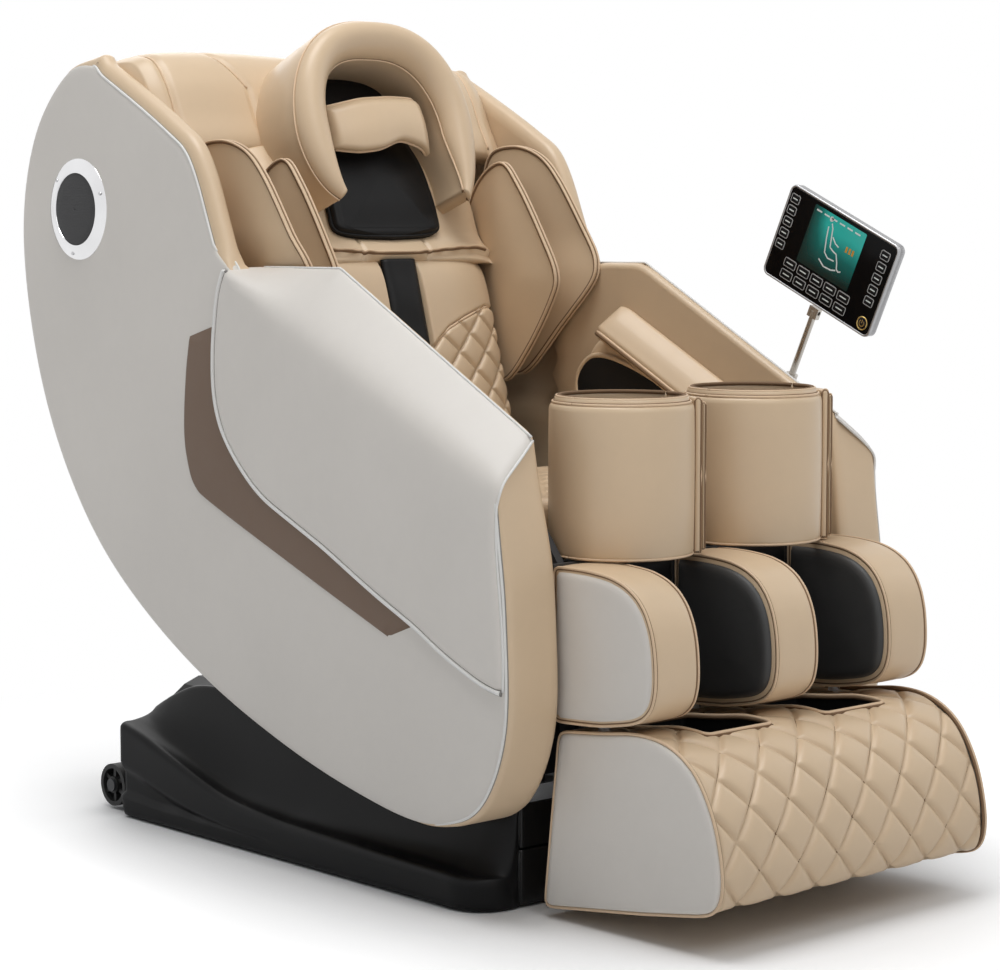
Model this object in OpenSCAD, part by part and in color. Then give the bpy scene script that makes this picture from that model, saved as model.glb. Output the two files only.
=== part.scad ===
// Padded massage chair. The cabin tilts in a cradle base, the leg rest swings up at the knee.
// Frame: +Z up, the chair faces -Y, +X is the sitter's left. Origin on the floor, mid width.

/* [Overall] */
// Width across the arm panels
overall_w = 750; // [720:2:780]
// Length of the side shells, from nose to rear
shell_l = 1134; // [1120:1:1150]
// Height of the side shells above the floor
shell_h = 1162; // [1150:1:1180]
// Thickness of a side shell
shell_t = 84; // [76:1:90]
// Thickness of an arm panel and its trim
panel_t = 6; // [4:0.5:8]
// How far in from the outside the arm's top starts to slope down
arm_bevel_w = 70; // [60:1:74]
// Thickness of a side shell above the arm
wing_t = 37; // [30:1:45]

/* [Seat] */
// Height of the seat board above the floor
board_z = 438; // [434:1:446]
// Thickness of the seat board
board_t = 12; // [9:1:15]
// Height of the seat cushion
seat_cushion_h = 93; // [80:1:100]
// Clearance between the seat cushion and each arm lining
seat_cushion_gap = 8.7; // [4:0.1:20]
// Thickness of the back cushion
back_cushion_t = 60; // [50:1:60]
// Width of the back cushion
back_cushion_w = 372; // [350:2:380]
// Thickness of each shoulder pad
shoulder_pad_t = 38; // [30:1:40]

/* [Tilt] */
// Outer radius of the tilt rails
rail_r = 790; // [786:1:792]
// Depth of a tilt rail
rail_d = 30; // [24:1:34]
// Width of a tilt rail
rail_w = 24; // [20:1:24]
// Distance of each rail from the middle
rail_x = 202; // [196:1:206]
// Radius of a cradle roller
roller_r = 25; // [20:1:26]
// Radius of a roller pin
roller_pin_r = 8; // [6:0.5:9]

/* [Leg rest] */
// Distance of the knee pivot in front of the middle
knee_y = 285; // [283:1:290]
// Height of the knee pivot
knee_z = 565; // [560:1:570]
// Width of the leg rest
leg_w = 532; // [520:2:540]
// Width of an outer calf divider
outer_divider_w = 80; // [70:1:84]
// Width of the middle calf divider
mid_divider_w = 80; // [70:1:88]
// Outer radius of a knee wrap
wrap_r = 97; // [90:1:97]
// Wall of a knee wrap
wrap_t = 14; // [10:1:16]
// Height of a knee wrap
wrap_h = 213; // [200:1:225]
// Width of a foot well
foot_well_w = 127; // [110:1:132]
// Radius of the foot slide rods
slide_rod_r = 8; // [6:0.5:9]

/* [Base] */
// Width of the base at the floor
base_w = 666; // [650:2:680]
// Wall of the base rear cover
cover_t = 5; // [4:0.5:6]
// Height of the rubber feet
foot_h = 10; // [8:1:12]
// Thickness of the base pan
pan_t = 6; // [4:0.5:8]
// Radius of a transport wheel
wheel_r = 33; // [30:1:35]
// Width of a transport wheel
wheel_w = 30; // [24:1:32]
// Radius of a wheel axle
wheel_axle_r = 6; // [5:0.5:7]

/* [Remote] */
// Width of the remote
remote_w = 210; // [180:1:220]
// Height of the remote
remote_h = 132; // [110:1:136]
// Thickness of the remote
remote_t = 16; // [14:1:22]
// Radius of the pole
pole_r = 5; // [4:0.5:6]
// Free length of the pole
pole_l = 112; // [90:1:130]

/* [Speaker] */
// Outer radius of the speaker ring
speaker_r = 76; // [68:1:78]
// Radius of the speaker mesh
speaker_mesh_r = 53; // [46:1:56]

/* [Fits] */
// Radial clearance of a turning or sliding fit
running_gap = 0.05; // [0.03:0.01:0.1]
// Clearance between parts that only lie side by side
seat_gap = 0.3; // [0.3:0.05:0.5]

/* [Hidden] */
$fn = 48;

tan_leather = [0.80, 0.69, 0.56];
grey_leather = [0.80, 0.78, 0.76];
brown_leather = [0.42, 0.33, 0.27];
black_leather = [0.12, 0.12, 0.12];
base_black = [0.14, 0.14, 0.15];
frame_steel = [0.30, 0.31, 0.33];
bright_steel = [0.78, 0.79, 0.80];

// The side view is drawn at these two sizes, and follows shell_l and shell_h
drawn_l = 1134;
drawn_h = 1162;
function at(p) = [p[0] * shell_l / drawn_l, p[1] * shell_h / drawn_h];
function at_all(points) = [for (p = points) at(p)];

half_w = overall_w / 2;
shell_out = half_w - panel_t;
shell_in = shell_out - shell_t;
cabin_half = shell_in - seat_gap;

// Centre that the cabin tilts about, as [y, z]
tilt_centre = [-50, 1000];
rail_in = rail_r - rail_d;
rail_rear_angle = 38;
rail_front_angle = 12;
front_roller_angle = 9;
rear_roller_angle = -10;
knee = [-knee_y, knee_z];

// ---------------------------------------------------------------- curves and skins

// A point between b and c of the smooth curve through a, b, c and d
function spline_point(a, b, c, d, t) =
    0.5 * (2 * b + (c - a) * t + (2 * a - 5 * b + 4 * c - d) * t * t
    + (3 * b - a - 3 * c + d) * t * t * t);

// A smooth open curve through the points, without its last point
function curve(p, n) = [
    for (i = [0 : len(p) - 2])
        for (j = [0 : n - 1])
            spline_point(p[max(i - 1, 0)], p[i], p[i + 1], p[min(i + 2, len(p) - 1)], j / n)
];

// A smooth closed curve through the points
function loop(p, n) = [
    for (i = [0 : len(p) - 1])
        for (j = [0 : n - 1])
            spline_point(p[(i + len(p) - 1) % len(p)], p[i], p[(i + 1) % len(p)],
                p[(i + 2) % len(p)], j / n)
];

// A clockwise closed outline drawn in by d
function drawn_in(p, d) = [
    for (i = [0 : len(p) - 1])
        let (t = p[(i + 1) % len(p)] - p[(i + len(p) - 1) % len(p)])
        p[i] + d * [t[1], -t[0]] / max(norm(t), 0.001)
];

// An open curve moved to its right hand side by d
function moved_in(p, d) = [
    for (i = [0 : len(p) - 1])
        let (t = p[min(i + 1, len(p) - 1)] - p[max(i - 1, 0)])
        p[i] + d * [t[1], -t[0]] / norm(t)
];

function backwards(p) = [for (i = [len(p) - 1 : -1 : 0]) p[i]];

// A side view outline stood up at one x
function at_x(outline, x) = [for (p = outline) [x, p[0], p[1]]];

// A closed solid over rings of equal point counts
module skin(rings) {
    n = len(rings[0]);
    last = (len(rings) - 1) * n;
    sides = [
        for (k = [0 : len(rings) - 2])
            for (i = [0 : n - 1])
                let (a = k * n + i, b = k * n + (i + 1) % n)
                each [[a, b, b + n], [a, b + n, a + n]]
    ];
    first_cap = [for (i = [n - 1 : -1 : 0]) i];
    last_cap = [for (i = [0 : n - 1]) last + i];
    polyhedron([for (r = rings) each r], concat(sides, [first_cap, last_cap]), convexity = 10);
}

// Draws its children from a side view outline, from x = 0 along +X
module side_extrude(x0, x1) {
    multmatrix([[0, 0, 1, x0], [1, 0, 0, 0], [0, 1, 0, 0], [0, 0, 0, 1]])
        linear_extrude(x1 - x0)
            children();
}

// A round bar along X
module x_bar(r, x0, x1, p) {
    translate([x0, p[0], p[1]])
        rotate([0, 90, 0])
            cylinder(r = r, h = x1 - x0);
}

// Stands children drawn along +Z at a side view point, turned to the side view direction
module along(p, direction) {
    translate([0, p[0], p[1]])
        rotate([-atan2(direction[0], direction[1]), 0, 0])
            children();
}

module both_sides() {
    children();
    mirror([1, 0, 0])
        children();
}

// A ring of a rounded rectangle whose sides draw in by pull at their middles
function pad_ring(w, l, z, power, pull, n) = [
    for (i = [0 : n - 1])
        let (
            a = -360 * i / n,
            c = cos(a),
            s = sin(a),
            r = 1 / pow(pow(abs(c), power) + pow(abs(s), power), 1 / power),
            draw = 1 - pull * (1 - pow(abs(sin(2 * a)), 2))
        )
        [w / 2 * c * r * draw, l / 2 * s * r * draw, z]
];

// A crowned cushion with drawn-in sides, standing on z = 0
module cushion(w, l, h, crown = 8, power = 6, pull = 0.012, n = 36) {
    edge = min(h / 2, 14);
    skin([
        pad_ring(w - 1.4 * edge, l - 1.4 * edge, 0, power, pull, n),
        pad_ring(w - 0.3 * edge, l - 0.3 * edge, edge * 0.5, power, pull, n),
        pad_ring(w, l, h * 0.5, power, pull, n),
        pad_ring(w - 0.3 * edge, l - 0.3 * edge, h - crown - edge * 0.5, power, pull, n),
        pad_ring(w - 2 * edge, l - 2 * edge, h - crown, power, pull, n),
        pad_ring(w * 0.7, l * 0.7, h - crown * 0.4, power / 2, 0, n),
        pad_ring(w * 0.35, l * 0.35, h, power / 3, 0, n)
    ]);
}

// A leaf shaped pad in the side view, t thick along X, fuller in the middle
module side_pad(outline, x0, t, edge) {
    skin([
        at_x(drawn_in(outline, edge * 1.6), x0),
        at_x(drawn_in(outline, edge * 0.4), x0 + t * 0.18),
        at_x(outline, x0 + t * 0.5),
        at_x(drawn_in(outline, edge * 0.4), x0 + t * 0.82),
        at_x(drawn_in(outline, edge * 1.6), x0 + t)
    ]);
}

// ---------------------------------------------------------------- side shells

shell_rear_line = at_all([
    [483, 1162], [580, 1133], [668, 1040], [704, 891], [670, 698], [590, 532], [463, 390],
    [260, 263], [23, 173], [-195, 123], [-300, 122], [-376, 160], [-422, 265], [-421, 415],
    [-410, 510], [-386, 642]
]);
arm_crest_line = at_all([[-386, 642], [0, 850], [148, 849]]);
wing_line = at_all([
    [148, 849], [203, 945], [252, 1028], [343, 1096], [444, 1150], [483, 1162]
]);
rear_steps = 5;
shell_outline = concat(
    curve(shell_rear_line, rear_steps),
    [arm_crest_line[0], arm_crest_line[1]],
    curve(wing_line, 4)
);

// The arm's top slopes down to this line on the outside
bevel_front = at([-406, 585]);
bevel_rear = at([172, 848]);

// How far a point of the outline lies above that line, on the arm
function above_bevel(p) =
    p[0] > bevel_rear[0] || p[1] < bevel_front[1] - 20 ? 0
    : max(0, p[1] - bevel_front[1] - (p[0] - bevel_front[0])
        * (bevel_rear[1] - bevel_front[1]) / (bevel_rear[0] - bevel_front[0]));
function lowered(outline, share) = [
    for (p = outline)
        p - [0, share * above_bevel(p)]
];

wing_in = shell_out - wing_t;
wing_half = wing_in - seat_gap;
pocket = concat(
    at_all([[205, 640], [205, 838], [128, 838]]),
    [[128, shell_h + 50], [575, shell_h + 50], [575, 1000]],
    at_all([[520, 640]])
);

module side_shell() {
    difference() {
        skin([
            at_x(drawn_in(shell_outline, 5), shell_in),
            at_x(shell_outline, shell_in + 7),
            at_x(shell_outline, shell_out - arm_bevel_w),
            at_x(lowered(shell_outline, 0.55), shell_out - arm_bevel_w * 0.42),
            at_x(lowered(shell_outline, 0.94), shell_out - 5),
            at_x(drawn_in(lowered(shell_outline, 1), 4), shell_out)
        ]);
        side_extrude(shell_in - 1, wing_in)
            polygon(pocket);
    }
}

panel_seam = at_all([
    [166, 838], [184, 803], [190, 746], [184, 675], [161, 634], [110, 599], [-4, 533], [-112, 473],
    [-217, 428], [-318, 371], [-408, 323]
]);
panel_front = at_all([[-408, 323], [-411, 415], [-402, 530], [-398, 577]]);

module arm_panel() {
    side_extrude(shell_out, half_w)
        polygon(concat(
            curve(panel_seam, 3),
            curve(panel_front, 3),
            [panel_front[3]]
        ));
}

module shell_trim() {
    inner = at_all([[192, 767], [193, 740], [187, 675], [163, 631], [112, 595], [-3, 529],
        [-111, 469], [-216, 424]]);
    outer = at_all([[-244, 379], [-186, 362], [-2, 429], [206, 505], [255, 534], [276, 584],
        [272, 656], [256, 750]]);
    side_extrude(shell_out, shell_out + panel_t * 0.6)
        polygon(concat(curve(inner, 3), [inner[7] + [-2, -2]], curve(outer, 3), [outer[7]]));
}

module arm_panel_left() {
    color(grey_leather)
        arm_panel();
}

module arm_panel_right() {
    color(grey_leather)
        mirror([1, 0, 0])
            arm_panel();
}

module side_shell_left() {
    color(tan_leather)
        difference() {
            side_shell();
            on_pole(-socket_sunk - seat_gap)
                cylinder(r = socket_r + seat_gap, h = 40);
        }
}

module side_shell_right() {
    color(tan_leather)
        mirror([1, 0, 0])
            side_shell();
}

module shell_trims() {
    color(brown_leather)
        both_sides()
            shell_trim();
}

speaker_centre = at([540, 931]);
speaker_ring_h = 9;

module on_shell(p) {
    translate([shell_out, p[0], p[1]])
        rotate([0, 90, 0])
            children();
}

module speaker_rings() {
    color(bright_steel)
        both_sides()
            on_shell(speaker_centre)
                rotate_extrude()
                    polygon([
                        [speaker_mesh_r, 0], [speaker_r, 0], [speaker_r, 3],
                        [speaker_r - 3, 5], [speaker_mesh_r + 5, speaker_ring_h],
                        [speaker_mesh_r, speaker_ring_h]
                    ]);
}

module speaker_meshes() {
    color(base_black)
        both_sides()
            on_shell(speaker_centre)
                cylinder(r = speaker_mesh_r - seat_gap, h = speaker_ring_h - 2);
}

// ---------------------------------------------------------------- rear of the cabin

rear_cover_t = 12;
rear_cover_inset = 22;
rear_cover_line = [
    for (i = [rear_steps + 2 : 6 * rear_steps])
        curve(shell_rear_line, rear_steps)[i]
];

module rear_cover() {
    color(grey_leather)
        side_extrude(-cabin_half, cabin_half)
            polygon(concat(
                moved_in(rear_cover_line, rear_cover_inset),
                backwards(moved_in(rear_cover_line, rear_cover_inset + rear_cover_t))
            ));
}

// The back leans along this line. Its front surface starts at back_foot
back_foot = [140, 560];
back_lean = 15.7;
back_dir = [sin(back_lean), cos(back_lean)];
back_normal = [cos(back_lean), -sin(back_lean)];

// Side view point at a height s along the back and n behind its front surface
function on_back(s, n) = back_foot + s * back_dir + n * back_normal;

stringer_x = 180;
stringer_w = 24;
stringer_front = 78;
stringer_back = 118;
back_top = shell_h - 692;
crossbar_t = 6;
rod_start = 14;
rod_end = back_top - 30;
rail_rod_r = 8;
rail_rod_x = 120;
rail_rod_n = 165;
crossbar_back = 190;

module back_plate(s0, s1, n0, n1, x0, x1) {
    side_extrude(x0, x1)
        polygon([on_back(s0, n0), on_back(s1, n0), on_back(s1, n1), on_back(s0, n1)]);
}

module back_frame() {
    board_top = board_z + board_t;
    color(frame_steel) {
        both_sides() {
            side_extrude(stringer_x, stringer_x + stringer_w)
                polygon([
                    [on_back(0, stringer_front)[0], board_top],
                    on_back(20, stringer_front),
                    on_back(back_top, stringer_front),
                    on_back(back_top, stringer_back),
                    on_back(20, stringer_back),
                    [on_back(0, crossbar_back)[0], board_top]
                ]);
            back_plate(rod_start - crossbar_t, rod_start, back_cushion_t + seat_gap, crossbar_back,
                -1, stringer_x + stringer_w);
            back_plate(rod_end, rod_end + crossbar_t, stringer_front, crossbar_back,
                -1, stringer_x + stringer_w);
        }
    }
}

module massage_rails() {
    color(bright_steel)
        both_sides()
            along(on_back(rod_start + seat_gap, rail_rod_n), back_dir)
                translate([rail_rod_x, 0, 0])
                    cylinder(r = rail_rod_r, h = rod_end - rod_start - 2 * seat_gap);
}

carriage_s = 40;
carriage_l = 110;
kneading_s = carriage_s + carriage_l / 2;
kneading_n = 101;
kneading_r = 32;
kneading_shaft_r = 7;
carriage_cheek_x = 92;

module massage_carriage() {
    color(base_black)
        difference() {
            union() {
                back_plate(carriage_s, carriage_s + carriage_l, 142, 188, -100, 100);
                both_sides() {
                    back_plate(carriage_s + 10, carriage_s + carriage_l - 10, 149, 181, 99, 138);
                    back_plate(carriage_s + 28, carriage_s + carriage_l - 28, 86, 143,
                        carriage_cheek_x, carriage_cheek_x + 8);
                }
            }
            both_sides()
                along(on_back(carriage_s - 1, rail_rod_n), back_dir)
                    translate([rail_rod_x, 0, 0])
                        cylinder(r = rail_rod_r + running_gap, h = carriage_l + 2);
            x_bar(kneading_shaft_r + running_gap, carriage_cheek_x - 1,
                carriage_cheek_x + 9, on_back(kneading_s, kneading_n));
            x_bar(kneading_shaft_r + running_gap, -carriage_cheek_x - 9,
                1 - carriage_cheek_x, on_back(kneading_s, kneading_n));
        }
}

module kneading_rollers() {
    centre = on_back(kneading_s, kneading_n);
    color(tan_leather) {
        x_bar(kneading_shaft_r, -carriage_cheek_x - 8, carriage_cheek_x + 8, centre);
        both_sides()
            x_bar(kneading_r, 34, 66, centre + [2, 0]);
    }
}

// ---------------------------------------------------------------- seat

board_top = board_z + board_t;
board_front = -254;
board_rear = 420;
hinge_plate_x = cabin_half - 28.7;
hinge_plate_t = 5;
knee_shaft_r = 10;
leg_lane_x = 35;
recline_lane_x = -35;
lug_gap = 2;
eye_w = 40;
rod_eye_w = 16;
rod_end_gap = rod_eye_w / 2 + 1;
crank_t = 6;
actuator_pin_r = 6;
leg_anchor = [60, 252];
recline_anchor = [330, 95];
recline_end = [-100, 330];
crank = [15, -132];
leg_end = knee + crank;

// Side plate of the seat frame, from the rail up to the board
module rail_plate() {
    arc = [
        for (a = [-rail_rear_angle : 2 : rail_front_angle])
            tilt_centre + rail_in * [-sin(a), -cos(a)]
    ];
    side_extrude(rail_x - 6, rail_x + 6)
        polygon(concat(arc, [[arc[len(arc) - 1][0], board_z], [arc[0][0], board_z]]));
}

// Two ears that hold an actuator's eye, with its pin
module ears(lane, p, w, h_top, below) {
    inner = eye_w / 2 + lug_gap;
    for (side = [-1, 1])
        side_extrude(lane + side * (inner + 2.5) - 2.5, lane + side * (inner + 2.5) + 2.5)
            polygon([
                [p[0] - w, below ? p[1] - 14 : h_top], [p[0] + w, below ? p[1] - 14 : h_top],
                [p[0] + w, below ? h_top : p[1] + 14], [p[0] - w, below ? h_top : p[1] + 14]
            ]);
    x_bar(actuator_pin_r, lane - inner - 1, lane + inner + 1, p);
}

module seat_frame() {
    color(frame_steel)
        difference() {
            union() {
                translate([-cabin_half, board_front, board_z])
                    cube([2 * cabin_half, board_rear - board_front, board_t]);
                both_sides() {
                    rail_plate();
                    translate([hinge_plate_x, knee[0] - 22, board_z])
                        cube([hinge_plate_t, 80, knee[1] + 20 - board_z]);
                }
                ears(leg_lane_x, leg_anchor, 18, board_z + 1, true);
                side_extrude(recline_lane_x - rod_end_gap - crank_t, recline_lane_x - rod_end_gap)
                    polygon([
                        [recline_end[0] - 12, recline_end[1] - 12],
                        [recline_end[0] + 12, recline_end[1] - 12],
                        [recline_end[0] + 30, board_z + 1], [recline_end[0] - 30, board_z + 1]
                    ]);
            }
            translate([leg_lane_x - 30, board_front - 1, board_z - 1])
                cube([60, 70, board_t + 2]);
            x_bar(knee_shaft_r + running_gap, -hinge_plate_x - 20, hinge_plate_x + 20, knee);
        }
}

module tilt_rails() {
    color(bright_steel)
        both_sides()
            translate([rail_x - rail_w / 2, tilt_centre[0], tilt_centre[1]])
                rotate([0, 90, 0])
                    rotate([0, 0, -rail_front_angle])
                        rotate_extrude(angle = rail_rear_angle + rail_front_angle, $fn = 360)
                            translate([rail_in, 0])
                                square([rail_d, rail_w]);
}

module seat_cushion() {
    front = board_front + 1;
    rear = on_back(0, 0)[0] - 10;
    width = 2 * (cabin_half - lining_t - seat_cushion_gap);
    color(tan_leather)
        translate([0, (front + rear) / 2, board_top + seat_gap])
            cushion(width, rear - front, seat_cushion_h);
}

// Depth of the sewn diamonds at a place across and along a quilted cover
function quilt(x, s, w, l, depth) =
    depth * (1 - min(1, 1.6 * sqrt(abs(sin(180 * (x / w + s / l)) * sin(180 * (x / w - s / l))))));

back_cushion_l = 312;
back_quilt = [62, 70];

module back_cushion() {
    half = back_cushion_w / 2;
    across = 26;
    rows = 22;
    rings = [
        for (i = [0 : across])
            let (
                x = -half + back_cushion_w * i / across,
                round_off = 26 * pow(abs(x) / half, 6),
                front = [
                    for (j = [0 : rows])
                        let (
                            s = back_cushion_l * j / rows,
                            end = 20 * pow(abs(2 * j / rows - 1), 8),
                            d = quilt(x, s, back_quilt[0], back_quilt[1], 6)
                        )
                        on_back(s, round_off + end + d)
                ]
            )
            at_x(concat(front, [
                on_back(back_cushion_l - 3, back_cushion_t), on_back(3, back_cushion_t)
            ]), x)
    ];
    color(tan_leather)
        difference() {
            skin(rings);
            side_extrude(-strip_w / 2 - seat_gap, strip_w / 2 + seat_gap)
                polygon([
                    on_back(strip_start, -20), on_back(back_cushion_l + 20, -20),
                    on_back(back_cushion_l + 20, strip_n + 18), on_back(strip_start, strip_n + 18)
                ]);
        }
}

strip_w = 66;
strip_start = 120;
strip_n = 2;

module spine_strip() {
    color(black_leather)
        side_extrude(-strip_w / 2, strip_w / 2)
            polygon([
                on_back(strip_start + seat_gap, strip_n + 6), on_back(strip_start + 8, strip_n),
                on_back(back_cushion_l - 4, strip_n),
                on_back(back_cushion_l - 4, strip_n + 18 - seat_gap),
                on_back(strip_start + seat_gap, strip_n + 18 - seat_gap)
            ]);
}

// ---------------------------------------------------------------- upper back and head

collar = on_back(back_cushion_l, 0);
upper_pad_t = 46;
upper_centre_w = 2 * (shell_in - 2 * shoulder_pad_t - 6);
pad_top_line = at_all([[345, 1028], [373, 1065], [402, 1122], [440, 1156], [520, 1150], [568, 1112]]);
centre_low_line = concat(
    [collar + [2, 4]],
    at_all([[244, 880], [264, 896], [281, 938], [310, 990]])
);
pad_top_curve = curve(pad_top_line, 4);

// Front of the padded back in the middle, from the collar up over the top
centre_line = concat(curve(concat(centre_low_line, [pad_top_line[0]]), 4), pad_top_curve);

roller_channel_n = kneading_n - kneading_r - 5;

// Its rear is hollowed in the middle, for the kneading rollers
module upper_back_pad() {
    color(tan_leather)
        difference() {
            union() {
                side_extrude(-wing_half, wing_half)
                    polygon(concat(
                        backwards(moved_in(pad_top_curve, upper_pad_t)),
                        pad_top_curve
                    ));
                side_extrude(-upper_centre_w / 2, upper_centre_w / 2)
                    polygon(concat(
                        [for (i = [0 : 22]) centre_line[i]],
                        [at([380, 1030])],
                        [
                            on_back(back_top + 6, stringer_back),
                            on_back(back_top + 6, stringer_front - 1),
                            on_back(back_cushion_l + 4, stringer_front - 1)
                        ]
                    ));
            }
            back_plate(back_cushion_l, rod_end - 10, roller_channel_n, stringer_back,
                -carriage_cheek_x - 10, carriage_cheek_x + 10);
        }
}

neck_first = 8;
neck_last = 26;
neck_w = 168;
neck_t = 30;
pillow_first = 15;
pillow_last = 23;
pillow_w = 182;
pillow_t = 30;

// A pad that lies on the middle of the back between two points of its front line, n0 to n1 away
// from it, with rounded ends and sides
module lying_pad(first, last, w, n0, n1, edge) {
    across = 14;
    line = [for (i = [first : last]) centre_line[i]];
    count = last - first;
    rings = [
        for (i = [0 : across])
            let (side = pow(abs(2 * i / across - 1), 5))
            at_x(concat(
                [
                    for (j = [0 : count])
                        let (end = pow(abs(2 * j / count - 1), 6))
                        moved_in(line, -(n1 - edge * max(side, end)))[j]
                ],
                backwards(moved_in(line, -n0))
            ), w * (i / across - 0.5))
    ];
    skin(rings);
}

module neck_pad() {
    color(black_leather)
        lying_pad(neck_first, neck_last, neck_w, seat_gap, neck_t, 14);
}

module head_pillow() {
    color(tan_leather)
        lying_pad(pillow_first, pillow_last, pillow_w, neck_t + seat_gap,
            neck_t + pillow_t, 16);
}

hood_z = 1062 * shell_h / drawn_h;
hood_half_w = 170;
hood_rise = 161;
hood_roll_t = 55;
hood_end_angle = 143;
hood_depth = 190;
hood_rim_foot = at([207, 958]);
hood_rim_lean = 0.3;
hood_back = [cos(20), -sin(20)];

// A point of the hood at an angle from its top, a distance out from the roll and back from the rim
function hood_point(a, out, back) =
    let (
        mid_x = (hood_half_w - hood_roll_t / 2) * pow(sin(abs(a)), abs(a) < 90 ? 0.75 : 0.32),
        mid_z = hood_z + (hood_rise - hood_roll_t / 2) * cos(a)
    )
    [
        (mid_x + out * sin(abs(a))) * sign(a),
        hood_rim_foot[0] + (mid_z - hood_rim_foot[1]) * hood_rim_lean + back * hood_back[0],
        mid_z + out * cos(a) + back * hood_back[1]
    ];

// One section of the hood, a fat roll at the rim with a thinner wall behind it
function hood_ring(a) =
    let (
        taper = 1 - 0.62 * pow(max(0, (abs(a) - 95) / (hood_end_angle - 95)), 1.6),
        r = hood_roll_t / 2 * taper,
        section = [
            for (q = [0 : 30 : 180])
                [-cos(q) * r, r * (1 - sin(q))]
        ]
    )
    [
        for (q = concat(section, [[r * 0.95, 70], [r * 0.6, hood_depth], [-r * 0.7, hood_depth],
            [-r * 0.75, 70]]))
            hood_point(a, q[0], q[1])
    ];

module hood() {
    color(tan_leather)
        difference() {
            skin([
                for (a = [-hood_end_angle : 13 : hood_end_angle])
                    hood_ring(a)
            ]);
            side_extrude(-half_w, half_w)
                polygon(concat(
                    moved_in(centre_line, -seat_gap),
                    [[700, 1000], [400, 800]]
                ));
        }
}

inner_leaf = at_all([
    [236, 1003], [196, 969], [142, 891], [110, 832], [121, 791], [172, 716], [226, 664],
    [268, 690], [306, 790], [318, 900], [290, 970]
]);
outer_leaf = at_all([
    [229, 1016], [183, 977], [125, 899], [91, 850], [98, 812], [159, 750], [246, 672],
    [290, 700], [322, 800], [326, 920], [290, 990]
]);

// Fills the space between the outer leaf and the shell above the arm
leaf_fill = at_all([
    [229, 1006], [186, 970], [130, 897], [103, 853], [206, 853], [206, 685], [290, 706],
    [318, 800], [322, 920], [286, 984]
]);

module shoulder_pads() {
    side_pad(backwards(loop(inner_leaf, 2)), shell_in - 2 * shoulder_pad_t - 2 * seat_gap,
        shoulder_pad_t, 7);
    side_pad(backwards(loop(outer_leaf, 2)), shell_in - shoulder_pad_t - seat_gap,
        shoulder_pad_t, 7);
    side_extrude(shell_in - shoulder_pad_t / 2, wing_half)
        polygon(leaf_fill);
}

module shoulder_pads_left() {
    color(tan_leather)
        shoulder_pads();
}

module shoulder_pads_right() {
    color(tan_leather)
        mirror([1, 0, 0])
            shoulder_pads();
}

// ---------------------------------------------------------------- arms

lining_t = 22;
plank_t = 16;

module arm_linings() {
    inner = shell_in - seat_gap - lining_t;
    color(tan_leather)
        both_sides()
            side_extrude(inner, inner + lining_t)
                polygon([
                    [-370, board_top + 22], [-250, board_top + seat_gap],
                    [120, board_top + seat_gap], [86, 716], [60, 738], [-370, 502]
                ]);
}

module arm_planks() {
    outer = shell_in - seat_gap;
    rear = at([32, 791]);
    front = at([-220, 658]);
    color(tan_leather)
        both_sides()
            skin([
                for (p = [front + [0, -4], front + [10, 1], rear + [-10, -1], rear + [0, -4]])
                    let (t = p == rear + [0, -4] || p == front + [0, -4] ? 0.6 : 1)
                    [
                        [outer, p[0], p[1]],
                        [outer - 40, p[0] + 22, p[1] - 36],
                        [outer - 43, p[0] + 20, p[1] - 38 - plank_t * t / 2],
                        [outer - 40, p[0] + 18, p[1] - 36 - plank_t * t],
                        [outer, p[0], p[1] - plank_t * t]
                    ]
            ]);
}

module arm_airbags() {
    inner = shell_in - seat_gap - lining_t;
    color(black_leather)
        both_sides()
            side_extrude(inner - 6, inner)
                polygon(loop([[78, 694], [96, 650], [80, 612], [-20, 590], [-150, 572],
                    [-170, 600], [-80, 660], [20, 704]], 3));
}

// ---------------------------------------------------------------- actuators

// Tube of a linear actuator that starts at its eye, drawn along +Z
module actuator_body(r, l, rod_r, bore_from) {
    difference() {
        union() {
            translate([0, 0, 8])
                cylinder(r = r, h = l - 8);
            translate([-eye_w / 2, 0, 0])
                rotate([0, 90, 0])
                    cylinder(r = 14, h = eye_w);
        }
        translate([0, 0, bore_from])
            cylinder(r = rod_r + running_gap, h = l);
        translate([-eye_w / 2 - 1, 0, 0])
            rotate([0, 90, 0])
                cylinder(r = actuator_pin_r + running_gap, h = eye_w + 2);
    }
}

// Rod of a linear actuator with an eye at its end, drawn along +Z
module actuator_rod(r, from, l) {
    difference() {
        union() {
            translate([0, 0, from])
                cylinder(r = r, h = l - 8 - from);
            translate([-rod_eye_w / 2, 0, l])
                rotate([0, 90, 0])
                    cylinder(r = 13, h = rod_eye_w);
        }
        translate([-rod_eye_w / 2 - 1, 0, l])
            rotate([0, 90, 0])
                cylinder(r = actuator_pin_r + running_gap, h = rod_eye_w + 2);
    }
}

recline_dir = recline_end - recline_anchor;
leg_dir = leg_end - leg_anchor;
recline_tube_l = 335;
leg_tube_l = 245;

module in_lane(x, p, direction) {
    translate([x, 0, 0])
        along(p, direction)
            children();
}

module recline_motor() {
    color(base_black)
        in_lane(recline_lane_x, recline_anchor, recline_dir)
            actuator_body(22, recline_tube_l, 9, 22);
}

module recline_rod() {
    color(bright_steel)
        in_lane(recline_lane_x, recline_anchor, recline_dir)
            actuator_rod(9, 24, norm(recline_dir));
}

module leg_motor() {
    color(base_black)
        in_lane(leg_lane_x, leg_anchor, leg_dir)
            actuator_body(20, leg_tube_l, 8, 22);
}

module leg_rod() {
    color(bright_steel)
        in_lane(leg_lane_x, leg_anchor, leg_dir)
            actuator_rod(8, 24, norm(leg_dir));
}

// ---------------------------------------------------------------- leg rest

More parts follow.
